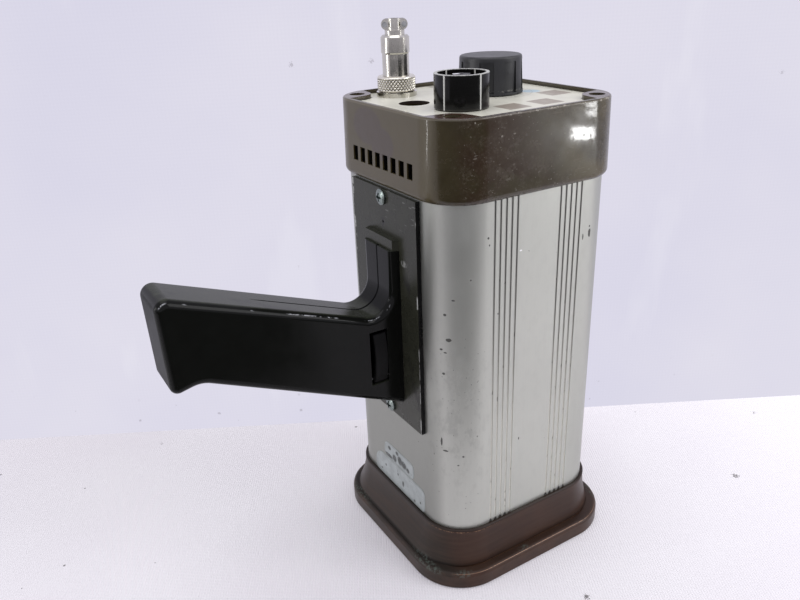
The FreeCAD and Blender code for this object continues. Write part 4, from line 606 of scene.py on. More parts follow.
@dataclass(frozen=True)
class TubeMetal(Finish):
    """Satin anodised tube with dirt and painted light in its grooves, painted shade on its -X face and
    right side, specks, small chips, scuffs and a painted glint.
    """

    bezel_top: float = 30.4
    face: float = 50.0
    group: float = 18.8
    pitch: float = 3.15
    chip_depth: float = 1.4
    chips: tuple[tuple[float, float, float, float, float], ...] = (
        (32.0, -50.0, 176.4, 0.9, 2.3), (31.9, -50.0, 179.8, 0.5, 0.5), (27.7, -50.0, 175.4, 0.4, 1.5),
        (-28.7, -50.0, 186.7, 0.6, 0.6), (-28.1, -50.0, 183.3, 0.4, 0.5), (-45.1, -42.5, 139.0, 1.4, 0.9),
        (-43.5, -44.2, 158.9, 0.6, 0.4), (-46.1, -41.2, 151.5, 0.5, 0.6), (-47.2, -39.5, 133.7, 0.4, 0.5),
        (-46.1, -41.2, 132.3, 0.6, 0.4), (-46.6, -40.4, 121.1, 0.5, 0.6), (-47.4, -39.2, 82.6, 0.26, 2.4),
        (-46.4, -40.8, 77.8, 1.3, 0.5), (-40.0, -46.9, 75.2, 0.5, 0.5), (-7.8, -50.0, 75.2, 0.4, 0.8),
        (-42.0, -45.4, 70.0, 0.4, 0.4), (-37.0, -48.4, 168.5, 0.4, 0.4), (-22.6, -50.0, 149.0, 0.4, 0.5))
    drawn_tint: Colour = (0.40, 0.40, 0.385)
    left_shade: Colour = (0.27, 0.275, 0.25)
    right_shade: Colour = (0.36, 0.365, 0.335)
    groove_low_painted_light: Colour = (0.95, 0.94, 0.88)
    groove_high: Colour = (0.28, 0.275, 0.26)
    smudge_tint: Colour = (0.12, 0.12, 0.11)
    bits_tint: Colour = (0.06, 0.06, 0.05)
    chip_tint: Colour = (0.040, 0.038, 0.034)
    smear_tint: Colour = (0.30, 0.30, 0.28)
    glint_tint: Colour = (0.95, 0.95, 0.95)

    def layers(self, bench: Bench) -> Layers:
        """Adds dirt, wear and painted light to the metal."""
        found = self.base(bench)
        drawn = bench.noise(1.6, 2.0, Grain.UPRIGHT.value)
        found.paint(drawn.rise(0.3, 0.7) * 0.05, self.drawn_tint)
        found.paint(bench.x.rise(-46.0, -50.0) * 0.75, self.left_shade)
        found.paint(bench.x.rise(18.0, 44.0) * 0.6, self.right_shade)
        from_group = (bench.x.size() - self.group).size()
        grooved = from_group.rise(7.4, 7.0) * bench.y.size().rise(self.face - 1.0, self.face - 0.8)
        groove = grooved * bench.y.size().rise(self.face - 0.15, self.face - 0.3)
        # painted light: groove floors are painted near white low down to lighten their shade, and dark
        # grey higher up
        height = bench.z.rise(70.0, 190.0)
        inside = bench.mixed(height, self.groove_low_painted_light, self.groove_high)
        found.paint(groove * 0.92, inside)
        smudged = from_group.folded(self.pitch).rise(1.1, 0.30) * grooved * (height * 0.3 + 0.04)
        found.paint(smudged, self.smudge_tint)
        bits = bench.noise(0.55, 3.0, (1.0, 1.0, 0.4)).rise(0.62, 0.70) * groove
        found.paint(bits * 0.45, self.bits_tint)
        foot = bench.z.rise(self.bezel_top + 1.6, self.bezel_top + 0.7)
        clots = bench.noise(0.6, 3.0, rough=0.6).rise(0.30, 0.42)
        seam = foot * clots * from_group.folded(self.pitch).rise(1.15, 0.8) * grooved
        ragged = bench.noise(0.9, 3.0) * 0.9 + 0.55
        nicks = any_of((bench.away((x, y, z), (across, self.chip_depth, tall)) * ragged).rise(1.1, 0.85)
                       for x, y, z, across, tall in self.chips)
        specks = bench.specks(15.0, 0.42, 0.2, bench.around)
        near_corner = bench.x.rise(-22.0, -38.0) * bench.y.rise(-22.0, -38.0)
        crumbs = bench.specks(4.0, 0.34, 0.34, bench.around) * near_corner * bench.z.rise(165.0, 120.0)
        dark = (specks * 0.8).most(crumbs * 0.7).most(seam).most(nicks)
        found.paint(dark * 0.88, self.chip_tint)
        rubbed_and_glint = near_corner * bench.z.within(60.0, 130.0, 18.0)
        smear = bench.noise(0.22, 5.0, (1.0, 1.0, 0.6), 0.68).rise(0.46, 0.66) * (rubbed_and_glint * 0.8 + 0.2)
        found.paint(smear * 0.3, self.smear_tint)
        # painted glint: a small white spot on the -Y face
        glint_spot = bench.away((-10.2, -50.0, 177.0), (0.8, self.chip_depth, 0.4)).rise(1.1, 0.8)
        found.paint(glint_spot, self.glint_tint)
        found.roughness += smear * 0.12 + dark * 0.2 + (drawn - 0.5) * 0.04
        found.metallic -= dark * 0.5 + smear * 0.2 + groove * 0.6
        found.height += drawn * 0.3 - nicks * 4.0
        return found


@dataclass(frozen=True)
class PanelPaint(Finish):
    """Cream panel with printed squares, a blue dot, faint ticks around the large knob and painted shade in
    the spare hole's bore.
    """

    knob: Pair = (17.2, 8.6)
    tick_inner: float = 18.2
    tick_outer: float = 20.4
    square: float = 12.5
    spare_hole: Pair = (-27.8, 8.2)
    squares: tuple[Pair, ...] = ((-0.8, -30.2), (18.3, -30.3), (38.0, -14.3))
    print_brown: Colour = (0.30, 0.245, 0.20)
    print_grey: Colour = (0.36, 0.34, 0.31)
    print_blue: Colour = (0.40, 0.60, 0.74)
    ink_tint: Colour = (0.10, 0.09, 0.08)
    bore_shade: Colour = (0.030, 0.017, 0.012)
    grime_tint: Colour = (0.20, 0.17, 0.12)

    def layers(self, bench: Bench) -> Layers:
        """Adds the print, some grime and the painted shade in the spare hole's bore."""
        found = self.base(bench)
        half = self.square / 2
        blocks = any_of(bench.x.within(x - half, x + half, 0.15) * bench.y.within(y - half, y + half, 0.15)
                        for x, y in self.squares)
        fade = bench.noise(0.2, 3.0).rise(0.1, 0.6) * 0.3 + 0.6
        found.paint(blocks * fade, self.print_brown)
        patch = bench.x.within(5.0, 16.0, 0.3) * bench.y.within(41.0, 48.5, 0.3)
        found.paint(patch * 0.7, self.print_grey)
        dot = bench.spot((33.8, -2.5, 237.0), (4.6, 4.6, 4.0), 0.06)
        found.paint(dot * 0.75, self.print_blue)
        radius, angle = bench.polar(*self.knob)
        tick = angle.folded(15.0).rise(0.8, 0.5) * radius.within(self.tick_inner, self.tick_outer, 0.15)
        ring = radius.within(self.tick_outer, self.tick_outer + 0.25, 0.08)
        ink = tick.most(ring) * angle.size().rise(10.0, 14.0)
        found.paint(ink * 0.45, self.ink_tint)
        # painted shade: the wall of the spare hole's bore is painted near black brown
        bore, _ = bench.polar(*self.spare_hole)
        found.paint(bore.rise(7.5, 7.4) * bench.z.rise(237.0, 236.9), self.bore_shade)
        edge = bench.x.size().most(bench.y.size()).rise(44.0, 48.8)
        grime = (edge * bench.noise(0.5, 3.0).rise(0.4, 0.65)).most(bench.specks(6.0, 0.4, 0.2))
        found.paint(grime * 0.45, self.grime_tint)
        return found


@dataclass(frozen=True)
class PlatePaint(Finish):
    """Grey-olive handle plate: lightly scratched, chipped along its near edge, black on its thickness,
    with a painted reflection of the handle beside it.
    """

    half: float = 28.6
    chipped: tuple[Triple, ...] = (
        (149.0, 157.0, 0.8), (126.0, 130.0, 0.4), (99.0, 128.0, 0.25), (80.0, 91.0, 0.5),
        (191.0, 192.5, 0.4))
    bare_steel: Colour = (0.50, 0.51, 0.49)
    reflection_and_hole_dark: Colour = (0.014, 0.013, 0.012)
    side_dark: Colour = (0.005, 0.005, 0.005)

    def layers(self, bench: Bench) -> Layers:
        """Adds scratches, chips, the painted reflection of the handle and a dark spot at the hole above
        it.
        """
        found = self.base(bench)
        rub = bench.noise(0.55, 4.0, (1.0, 1.0, 0.5), 0.7)
        chips = any_of(bench.y.rise(-self.half + wide + 0.25, -self.half + wide - 0.05)
                       * bench.z.within(low, high, 1.0) * rub.rise(0.40, 0.5)
                       for low, high, wide in self.chipped)
        far_edge = bench.y.rise(self.half - 1.6, self.half - 0.6) * bench.z.rise(160.0, 170.0)
        chips = chips.most(far_edge * rub.rise(0.50, 0.56) * 0.9)
        field = bench.z.rise(183.0, 188.0) * bench.y.rise(2.0, -6.0)
        thin = bench.scratches((1.0, 0.22, 1.3), 0.8, 0.2) * field
        rub_spot = bench.spot((-52.2, -17.5, 170.0), (2.0, 2.4, 1.4), 0.4) * rub.rise(0.42, 0.56)
        grit = bench.specks(11.0, 0.4, 0.14, (bench.y, bench.z)) * 0.6
        marks = chips.most(thin * 0.3).most(rub_spot * 0.6).most(grit)
        found.paint(marks, self.bare_steel)
        # painted reflection: an upright streaked dark patch beside the handle's -Y side stands in for the
        # handle's reflection; a dark spot is painted at the hole above the handle
        hole = bench.spot((-52.2, 0.0, 186.3), (2.0, 1.2, 2.2), 0.3)
        beside_handle = bench.z.rise(168.0, 158.0) * bench.y.rise(-14.0, -17.0)
        handle_reflection = bench.noise(0.16, 4.0, (1.0, 1.0, 0.45), 0.6).rise(0.55, 0.66) * beside_handle
        found.paint((handle_reflection * 0.75).most(hole * 0.85), self.reflection_and_hole_dark)
        side = bench.y.size().rise(self.half - 0.02, self.half)
        found.paint(side, self.side_dark)
        found.roughness += marks * 0.2 + handle_reflection * 0.1
        return found


@dataclass(frozen=True)
class HandleGloss(Finish):
    """Gloss black moulding with a seam line, dust on its upper faces, smudges, a few nicks and painted
    glints along its near upper edge.
    """

    end: float = -146.0
    # x ranges of the painted glints along the near upper edge
    rubbed_and_glint: tuple[Pair, ...] = (
        (-163.5, -160.0), (-153.0, -152.4), (-125.4, -124.9), (-109.5, -104.0), (-102.5, -94.0),
        (-91.5, -89.0), (-86.8, -85.8), (-71.0, -64.0), (-59.0, -57.5))
    dust_tint: Colour = (0.42, 0.46, 0.34)
    grit_tint: Colour = (0.35, 0.34, 0.31)
    rub_and_glint_tint: Colour = (0.60, 0.61, 0.66)
    seam_dark: Colour = (0.002, 0.002, 0.002)

    def layers(self, bench: Bench) -> Layers:
        """Adds the seam, smudges, dust and the painted glints."""
        found = self.base(bench)
        smudge = bench.noise(0.055, 5.0, rough=0.62).rise(0.50, 0.62)
        facing = bench.node("ShaderNodeNewGeometry", {}, {}, output="Normal")
        outward, sideways, upward = bench.split(facing)
        ending = outward.rise(-0.80, -0.95) * bench.x.rise(self.end + 8, self.end)
        cover = upward.rise(0.80, 0.97).most(ending * 0.1)
        dust = cover * (bench.noise(0.5, 3.0).rise(0.3, 0.7) * 0.3 + 0.7) * (1 - smudge * 0.5)
        found.paint(dust * 0.08, self.dust_tint)
        grit = bench.specks(16.0, 0.3, 0.1, (bench.x, bench.z))
        found.paint(grit * 0.35, self.grit_tint)
        # painted highlights: short whitish streaks along the near upper edge stand in for glints
        edge_glints = sideways.within(-0.76, -0.68, 0.05) * upward.rise(0.3, 0.5)
        edge_glints = edge_glints * bench.noise(0.6, 3.0).rise(0.42, 0.52)
        shown = any_of(bench.x.within(low, high, 1.0) for low, high in self.rubbed_and_glint)
        found.paint(edge_glints * shown * 0.8, self.rub_and_glint_tint)
        seam = bench.y.size().rise(0.8, 0.4) * bench.x.rise(-124.0, -114.0)
        found.paint(seam, self.seam_dark)
        found.roughness += dust * 0.12 + smudge * 0.05 + seam * 0.6 + ending * 0.3
        found.metallic = seam
        return found


@dataclass(frozen=True)
class BarBlack(Finish):
    """Satin black of the thumb bar, lost in shade along the edges that dip into its slot."""

    low: Pair = (-68.2, 110.8)
    high: Pair = (-60.4, 136.2)
    shade_dark: Colour = (0.0005, 0.0005, 0.0005)

    def layers(self, bench: Bench) -> Layers:
        """Adds the shaded edges."""
        found = self.base(bench)
        across = bench.x.within(self.low[0], self.high[0], 0.5)
        shade = 1 - across * bench.z.within(self.low[1], self.high[1], 0.5)
        found.paint(shade, self.shade_dark)
        found.metallic = shade
        return found


@dataclass(frozen=True)
class SleeveBlack(Finish):
    """Gloss black sleeve with four white lines down it and a worn upper rim."""

    axis: Pair = (-19.1, -17.3)
    top: float = 252.4
    line: float = 0.75
    angles: tuple[float, ...] = (0.0, 90.0, 180.0, 270.0)
    white_paint: Colour = (0.72, 0.72, 0.70)
    foot_dust: Colour = (0.3, 0.28, 0.25)

    def layers(self, bench: Bench) -> Layers:
        """Adds the lines and the worn rim."""
        found = self.base(bench)
        radius, angle = bench.polar(*self.axis)
        turns = (((angle - spot) * (math.pi / 180)).math("COSINE") for spot in self.angles)
        widths = (turn.math("ARCCOSINE") * radius for turn in turns)
        lines = any_of(width.rise(self.line / 2 + 0.08, self.line / 2 - 0.08) for width in widths)
        rim = bench.z.rise(self.top - 0.35, self.top - 0.05) * bench.noise(0.9, 3.0).rise(0.2, 0.55)
        foot = bench.z.rise(238.4, 237.6) * 0.5
        white = lines.most(rim * 0.85)
        found.paint(white * 0.92, self.white_paint)
        found.paint(foot * 0.2, self.foot_dust)
        found.roughness += white * 0.25
        return found


@dataclass(frozen=True)
class KnobBlack(Finish):
    """Satin black of the large knob, dusty on top, with light specks and a lighter band near its foot."""

    top: float = 255.1
    dust_tint: Colour = (0.6, 0.58, 0.52)
    rub_and_glint_tint: Colour = (0.4, 0.39, 0.36)

    def layers(self, bench: Bench) -> Layers:
        """Adds dust, light specks and a lighter band near the foot."""
        found = self.base(bench)
        crown = bench.z.rise(self.top - 2.2, self.top - 0.4)
        dust = crown * (bench.noise(0.6, 3.0).rise(0.3, 0.7) * 0.5 + 0.5)
        found.paint(dust * 0.02, self.dust_tint)
        rub = bench.specks(5.0, 0.3, 0.25) * 0.4
        band = bench.z.within(239.0, 239.7, 0.2) * bench.noise(0.8, 3.0).rise(0.5, 0.65) * 0.35
        found.paint(rub.most(band), self.rub_and_glint_tint)
        return found


@dataclass(frozen=True)
class LabelPaper(Finish):
    """Bare worn label: pale, scuffed, with a thin dark outline and no print."""

    low: Pair = (0.0, 0.0)
    high: Pair = (1.0, 1.0)
    wear: float = 0.3
    scuffs: tuple[Scuff, ...] = ()
    outline_tint: Colour = (0.08, 0.08, 0.08)
    torn_tint: Colour = (0.055, 0.055, 0.045)
    scuff_tint: Colour = (0.030, 0.034, 0.030)
    scratch_tint: Colour = (0.2, 0.2, 0.19)

    def layers(self, bench: Bench) -> Layers:
        """Adds the outline and the wear."""
        found = self.base(bench)
        away = any_of((along - (low + high) / 2).size() - (high - low) / 2
                      for along, low, high in zip((bench.y, bench.z), self.low, self.high))
        outline = away.within(-0.85, -0.5, 0.12)
        start = 0.64 - self.wear * 0.14
        torn = bench.noise(0.30, 5.0, (1.0, 1.6, 0.7), 0.72).rise(start, start + 0.03)
        found.paint(outline * 0.4, self.outline_tint)
        found.paint(torn * away.rise(-1.2, -2.2) * 0.85, self.torn_tint)
        ragged = bench.noise(0.8, 4.0, (1.0, 1.6, 0.6), 0.7).rise(0.30, 0.46)
        for y, z, across, tall in self.scuffs:
            mark = bench.spot((-50.0, y, z), (3.0, across, tall), 0.35) * ragged
            found.paint(mark * 0.92, self.scuff_tint)
        scuff = bench.scratches((1.0, 0.3, 1.0), 0.9, 0.2)
        found.paint(scuff * 0.25, self.scratch_tint)
        return found


@dataclass(frozen=True)
class Ribbed(Finish):
    """Even ribs with dark gaps, such as a pile of sheets seen edge on or the laps of a wound tape."""

    across: Triple = (0.0, 1.0, 0.0)
    pitch: float = 0.5
    edge: Pair = (0.05, 0.12)
    relief: float = 0.05
    gap_tint: Colour = (0.02, 0.018, 0.017)

    def layers(self, bench: Bench) -> Layers:
        """Adds the ribs."""
        found = self.base(bench)
        place = bench.vector("DOT_PRODUCT", bench.place, self.across, output="Value")
        ribs = place.folded(self.pitch).rise(*self.edge)
        found.colour = bench.mixed(ribs, self.gap_tint, found.colour)
        found.height, found.depth = ribs, self.relief
        return found


@dataclass(frozen=True)
class BoardLacquer(Finish):
    """Green circuit board with tinned tracks and pads."""

    pad_pitch: float = 5.08
    relief: float = 0.04
    track_green: Colour = (0.16, 0.42, 0.19)
    tin_tint: Colour = (0.65, 0.64, 0.6)

    def layers(self, bench: Bench) -> Layers:
        """Adds tracks and pads."""
        found = self.base(bench)
        across = bench.y.folded(self.pad_pitch)
        level = bench.z.folded(self.pad_pitch)
        pads = (across * across + level * level).math("SQRT").rise(0.95, 0.8)
        lot = bench.noise(0.09, 1.0).rise(0.48, 0.5)
        tracks = across.rise(0.5, 0.4) * lot
        cross = level.rise(0.5, 0.4) * (1 - lot)
        copper = pads.most(tracks).most(cross)
        found.paint(copper, self.track_green)
        found.paint(pads, self.tin_tint)
        found.metallic, found.height, found.depth = pads * 0.8, copper, self.relief
        return found


@dataclass(frozen=True)
class ClearGlass(Finish):
    """Clear glass with a faint tint and a trace of dust."""

    def constants(self) -> dict[str, object]:
        """Adds the transmission to the even values."""
        return {"IOR": self.ior, "Transmission Weight": 1.0}

    def layers(self, bench: Bench) -> Layers:
        """Adds uneven dust to the glass."""
        dust = bench.noise(0.08, 4.0).rise(0.5, 0.8)
        return Layers(bench, self.colour, self.roughness + dust * 0.08)


@dataclass(frozen=True)
class PlatedMetal(Finish):
    """Bright plating, dulled unevenly, with dirt where pieces meet."""

    tarnish: Colour = (0.25, 0.22, 0.16)
    dulled: float = 0.25
    hair_tint: Colour = (0.3, 0.29, 0.26)

    def layers(self, bench: Bench) -> Layers:
        """Adds tarnish and hairlines."""
        found = self.base(bench)
        cloud = bench.noise(0.25, 5.0, rough=0.62).rise(0.5, 0.75)
        hair = bench.noise(3.0, 1.0, (1.0, 1.0, 0.15)).rise(0.35, 0.75)
        found.paint(cloud * self.dulled, self.tarnish)
        found.paint(hair * 0.08, self.hair_tint)
        found.roughness += cloud * 0.16 + (hair - 0.5) * 0.05
        return found


@dataclass(frozen=True)
class GlintedNut(PlatedMetal):
    """Blackened nut with a painted glint at one place of its rim."""

    # centre of the painted glint on the nut's rim
    rubbed_and_glint: Triple = (-20.6, -14.4, 251.0)
    reach: float = 2.0
    glint_white: Colour = (0.95, 0.95, 0.94)

    def layers(self, bench: Bench) -> Layers:
        """Adds the painted glint."""
        found = super().layers(bench)
        glint_spot = bench.spot(self.rubbed_and_glint, (self.reach, self.reach, 9.0), 0.3)
        found.paint(glint_spot, self.glint_white)
        return found


@dataclass(frozen=True)
class KnurledPlating(PlatedMetal):
    """Plating, darker in the grooves of a diamond knurl."""

    axis: Pair = (0.0, 0.0)
    foot: float = 0.0
    top: float = 1.0
    diamonds: int = 40
    rows: float = 3.0
    groove_dark: Colour = (0.07, 0.065, 0.05)

    def layers(self, bench: Bench) -> Layers:
        """Darkens both runs of grooves."""
        found = super().layers(bench)
        _, angle = bench.polar(*self.axis)
        turn = angle * (self.diamonds / 360)
        climb = (bench.z - self.foot) * (self.rows / (self.top - self.foot))
        grooves = (turn + climb).folded(1.0).least((turn - climb).folded(1.0)).rise(0.2, 0.06)
        knurled = bench.z.within(self.foot, self.top, 0.1)
        found.paint(grooves * knurled * 0.8, self.groove_dark)
        return found


FINISHES: dict[str, Finish] = {
    "brown_paint": CapPaint("cap_paint", (0.040, 0.031, 0.013), 0.24, mottling=0.14, mottle_size=14,
                            grain_size=0.7, grain_depth=0.005, ior=1.42, coat=0.3, coat_roughness=0.05),
    "satin_aluminium": TubeMetal("tube_metal", (0.55, 0.56, 0.51), 0.42, 0.85, mottling=0.02,
                                 mottle_size=40, unevenness=0.03, grain_size=0.35, grain_depth=0.008),
    "cream_panel": PanelPaint("panel_paint", (0.75, 0.735, 0.65), 0.38, mottling=0.05, grain_depth=0.006),
    "zinc_steel": PlatedMetal("zinc_steel", (0.56, 0.57, 0.56), 0.3, 1.0, mottling=0.1, mottle_size=3,
                              tarnish=(0.12, 0.14, 0.12), dulled=0.6),
    "spring_steel": PlatedMetal("spring_steel", (0.3, 0.3, 0.31), 0.35, 1.0),
    "window_glass": ClearGlass("window_glass", (0.95, 0.98, 0.97), 0.02, ior=1.49),
    "tube_glass": ClearGlass("tube_glass", (0.96, 0.98, 1.0), 0.01, ior=1.47),
    "black_rubber": Finish("black_rubber", (0.02, 0.02, 0.02), 0.75, grain_depth=0.02),
    "mirror_dish": PlatedMetal("mirror_dish", (0.88, 0.88, 0.89), 0.05, 1.0, mottling=0.01,
                               tarnish=(0.6, 0.6, 0.6), dulled=0.15),
    "ceramic": Finish("ceramic", (0.80, 0.77, 0.70), 0.22, coat=0.5),
    "nickel": PlatedMetal("nickel_plate", (0.62, 0.60, 0.54), 0.17, 1.0, mottling=0.04, mottle_size=5,
                          unevenness=0.03, grain_depth=0.001),
    "contact_brass": PlatedMetal("turned_brass", (0.72, 0.52, 0.22), 0.25, 1.0, mottling=0.06),
    "knob_black": KnobBlack("knob_black", (0.020, 0.021, 0.023), 0.40, grain_size=0.35, grain_depth=0.012),
    "sleeve_black": SleeveBlack("sleeve_black", (0.006, 0.006, 0.006), 0.14, unevenness=0.03, ior=1.33),
    "insulator_black": Finish("insulator_black", (0.02, 0.02, 0.022), 0.35),
    "plate_paint": PlatePaint("plate_paint", (0.034, 0.035, 0.025), 0.28, mottling=0.1, grain_size=0.8,
                              grain_depth=0.010, ior=1.33),
    "handle_black": HandleGloss("handle_black", (0.0060, 0.0064, 0.0056), 0.13, unevenness=0.03,
                                grain_size=1.2, grain_depth=0.003, ior=1.23),
    "bar_black": BarBlack("bar_black", (0.004, 0.004, 0.004), 0.4, grain_size=0.3, grain_depth=0.02,
                          ior=1.25),
    "chassis_zinc": PlatedMetal("chassis_zinc", (0.6, 0.57, 0.47), 0.35, 1.0, mottling=0.15, mottle_size=4,
                                tarnish=(0.5, 0.42, 0.2)),
    "circuit_board": BoardLacquer("circuit_board", (0.05, 0.20, 0.07), 0.3, coat=0.4),
    "capacitor_sleeve": Finish("capacitor_sleeve", (0.03, 0.06, 0.20), 0.28, coat=0.3),
    "film_orange": Finish("film_orange", (0.55, 0.17, 0.03), 0.25, coat=0.4),
    "heat_sink_black": Finish("heat_sink_black", (0.02, 0.02, 0.022), 0.42, 0.5),
    "core_iron": Ribbed("core_iron", (0.10, 0.085, 0.08), 0.45, 0.6),
    "coil_tape": Ribbed("coil_tape", (0.62, 0.48, 0.10), 0.35, across=(0.12, 0.0, 1.0), pitch=4.0,
                        edge=(0.06, 0.16), relief=0.08, gap_tint=(0.30, 0.22, 0.04)),
    "potting_black": Finish("potting_black", (0.03, 0.03, 0.032), 0.5, grain_depth=0.02),
}

BLACKENED = GlintedNut("blackened_steel", (0.015, 0.015, 0.016), 0.4, 1.0)

DARK_ZINC = PlatedMetal("dark_zinc", (0.24, 0.28, 0.26), 0.3, 1.0, mottling=0.2, mottle_size=2,
                        tarnish=(0.05, 0.06, 0.05), dulled=0.7)

BEZEL = BezelPaint("bezel_paint", (0.041, 0.018, 0.010), 0.33, mottling=0.16, mottle_size=16,
                   grain_size=0.8, grain_depth=0.010, ior=1.36)


def linked(thing: bpy.types.Object) -> bpy.types.Object:
    """Puts a new object into the scene."""
    bpy.context.scene.collection.objects.link(thing)
    return thing


def to_object(name: str, mesh: bmesh.types.BMesh) -> bpy.types.Object:
    """Turns a finished mesh, which is used up, into an object of the scene."""
    data = bpy.data.meshes.new(name)
    mesh.to_mesh(data)
    mesh.free()
    return linked(bpy.data.objects.new(name, data))


def raised_points(made: dict[str, list]) -> list[bmesh.types.BMVert]:
    """The vertices that an extrusion made."""
    return [item for item in made["geom"] if isinstance(item, bmesh.types.BMVert)]


def shade_smooth(piece: bpy.types.Object, crease: float) -> None:
    """Shades a piece smoothly apart from its sharp edges."""
    piece.data.polygons.foreach_set("use_smooth", [True] * len(piece.data.polygons))
    split = piece.modifiers.new("crease", "EDGE_SPLIT")
    split.split_angle = crease


class Wardrobe:
    """Makes each material once."""

    def __init__(self) -> None:
        """Starts with no materials."""
        self.made: dict[str, bpy.types.Material] = {}

    def get(self, finish: Finish) -> bpy.types.Material:
        """The material of a finish."""
        if finish.name not in self.made:
            self.made[finish.name] = finish.material()
        return self.made[finish.name]

    def dress(self, piece: bpy.types.Object, finish: Finish) -> None:
        """Gives a piece one finish."""
        piece.data.materials.clear()
        piece.data.materials.append(self.get(finish))


@dataclass
class Workshop:
    """The loaded frame and the materials, shared by every sub-assembly."""

    frame: dict
    wardrobe: Wardrobe = field(default_factory=Wardrobe)
    crease: float = math.radians(32)
    evening: int = 100

    def slot_of(self, node: str) -> str:
        """The record's material slot of a CAD node."""
        rows = self.frame["record"]["subparts"]
        return next(row["material_slot"] for row in rows if row["node"] == node)

    def smooth_node(self, node: str) -> bpy.types.Object:
        """Shades a CAD node smoothly over its curves and keeps its edges crisp.

        Args:
            node: The node's name.

        Returns:
            The node's object.
        """
        piece = self.frame["nodes"][node]
        stored = piece.data.attributes.get("custom_normal")
        if stored is not None:
            piece.data.attributes.remove(stored)
        weld = piece.modifiers.new("weld", "WELD")
        weld.merge_threshold = HAIR
        shade_smooth(piece, self.crease)
        evened = piece.modifiers.new("evened", "WEIGHTED_NORMAL")
        evened.mode = "FACE_AREA"
        evened.weight = self.evening
        return piece

    def dress_nodes(self, nodes: Iterable[str], finish: Finish | None = None) -> None:
        """Shades and dresses CAD nodes.

        Args:
            nodes: Their names.
            finish: One finish for all, or each node's own by its slot.
        """
        for node in nodes:
            chosen = finish or FINISHES[self.slot_of(node)]
            self.wardrobe.dress(self.smooth_node(node), chosen)
            log.info("node %s: %s", node, chosen.name)

    def add_piece(self, name: str, mesh: bmesh.types.BMesh, finish: Finish, body: str,
                  slot: str | None = None, replaced: Iterable[str] = ()) -> bpy.types.Object:
        """Turns a finished bmesh into a dressed piece that rides on a body.

        Args:
            name: The piece's name.
            mesh: Its mesh, which is used up.
            finish: Its finish.
            body: The CAD body it moves with.
            slot: The record's material slot of the piece; not used.
            replaced: CAD nodes that it stands for.

        Returns:
            The piece.
        """
        bmesh.ops.recalc_face_normals(mesh, faces=mesh.faces)
        piece = to_object(name, mesh)
        self.wardrobe.dress(piece, finish)
        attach(piece, body)
        for node in replaced:
            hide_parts(node)
        log.info("piece %s on %s: %d faces", name, body, len(piece.data.polygons))
        return piece


@dataclass
class SubAssembly:
    """Pieces that belong together. One that does more than dress them adds to build."""

    shop: Workshop
    nodes: tuple[str, ...] = ()

    def build(self) -> None:
        """Dresses the sub-assembly's CAD nodes, each by its slot."""
        self.shop.dress_nodes(self.nodes)


@dataclass(frozen=True)
class Label:
    """A bare paper label on the tube's -X face, by its corners along Y and Z.

    torn is how much its far upper corner has lost. Each scuff is a place and a half size along Y and Z,
    in millimetres.
    """

    name: str
    low: Pair
    high: Pair
    corner: float
    torn: float
    scuffs: tuple[Scuff, ...]


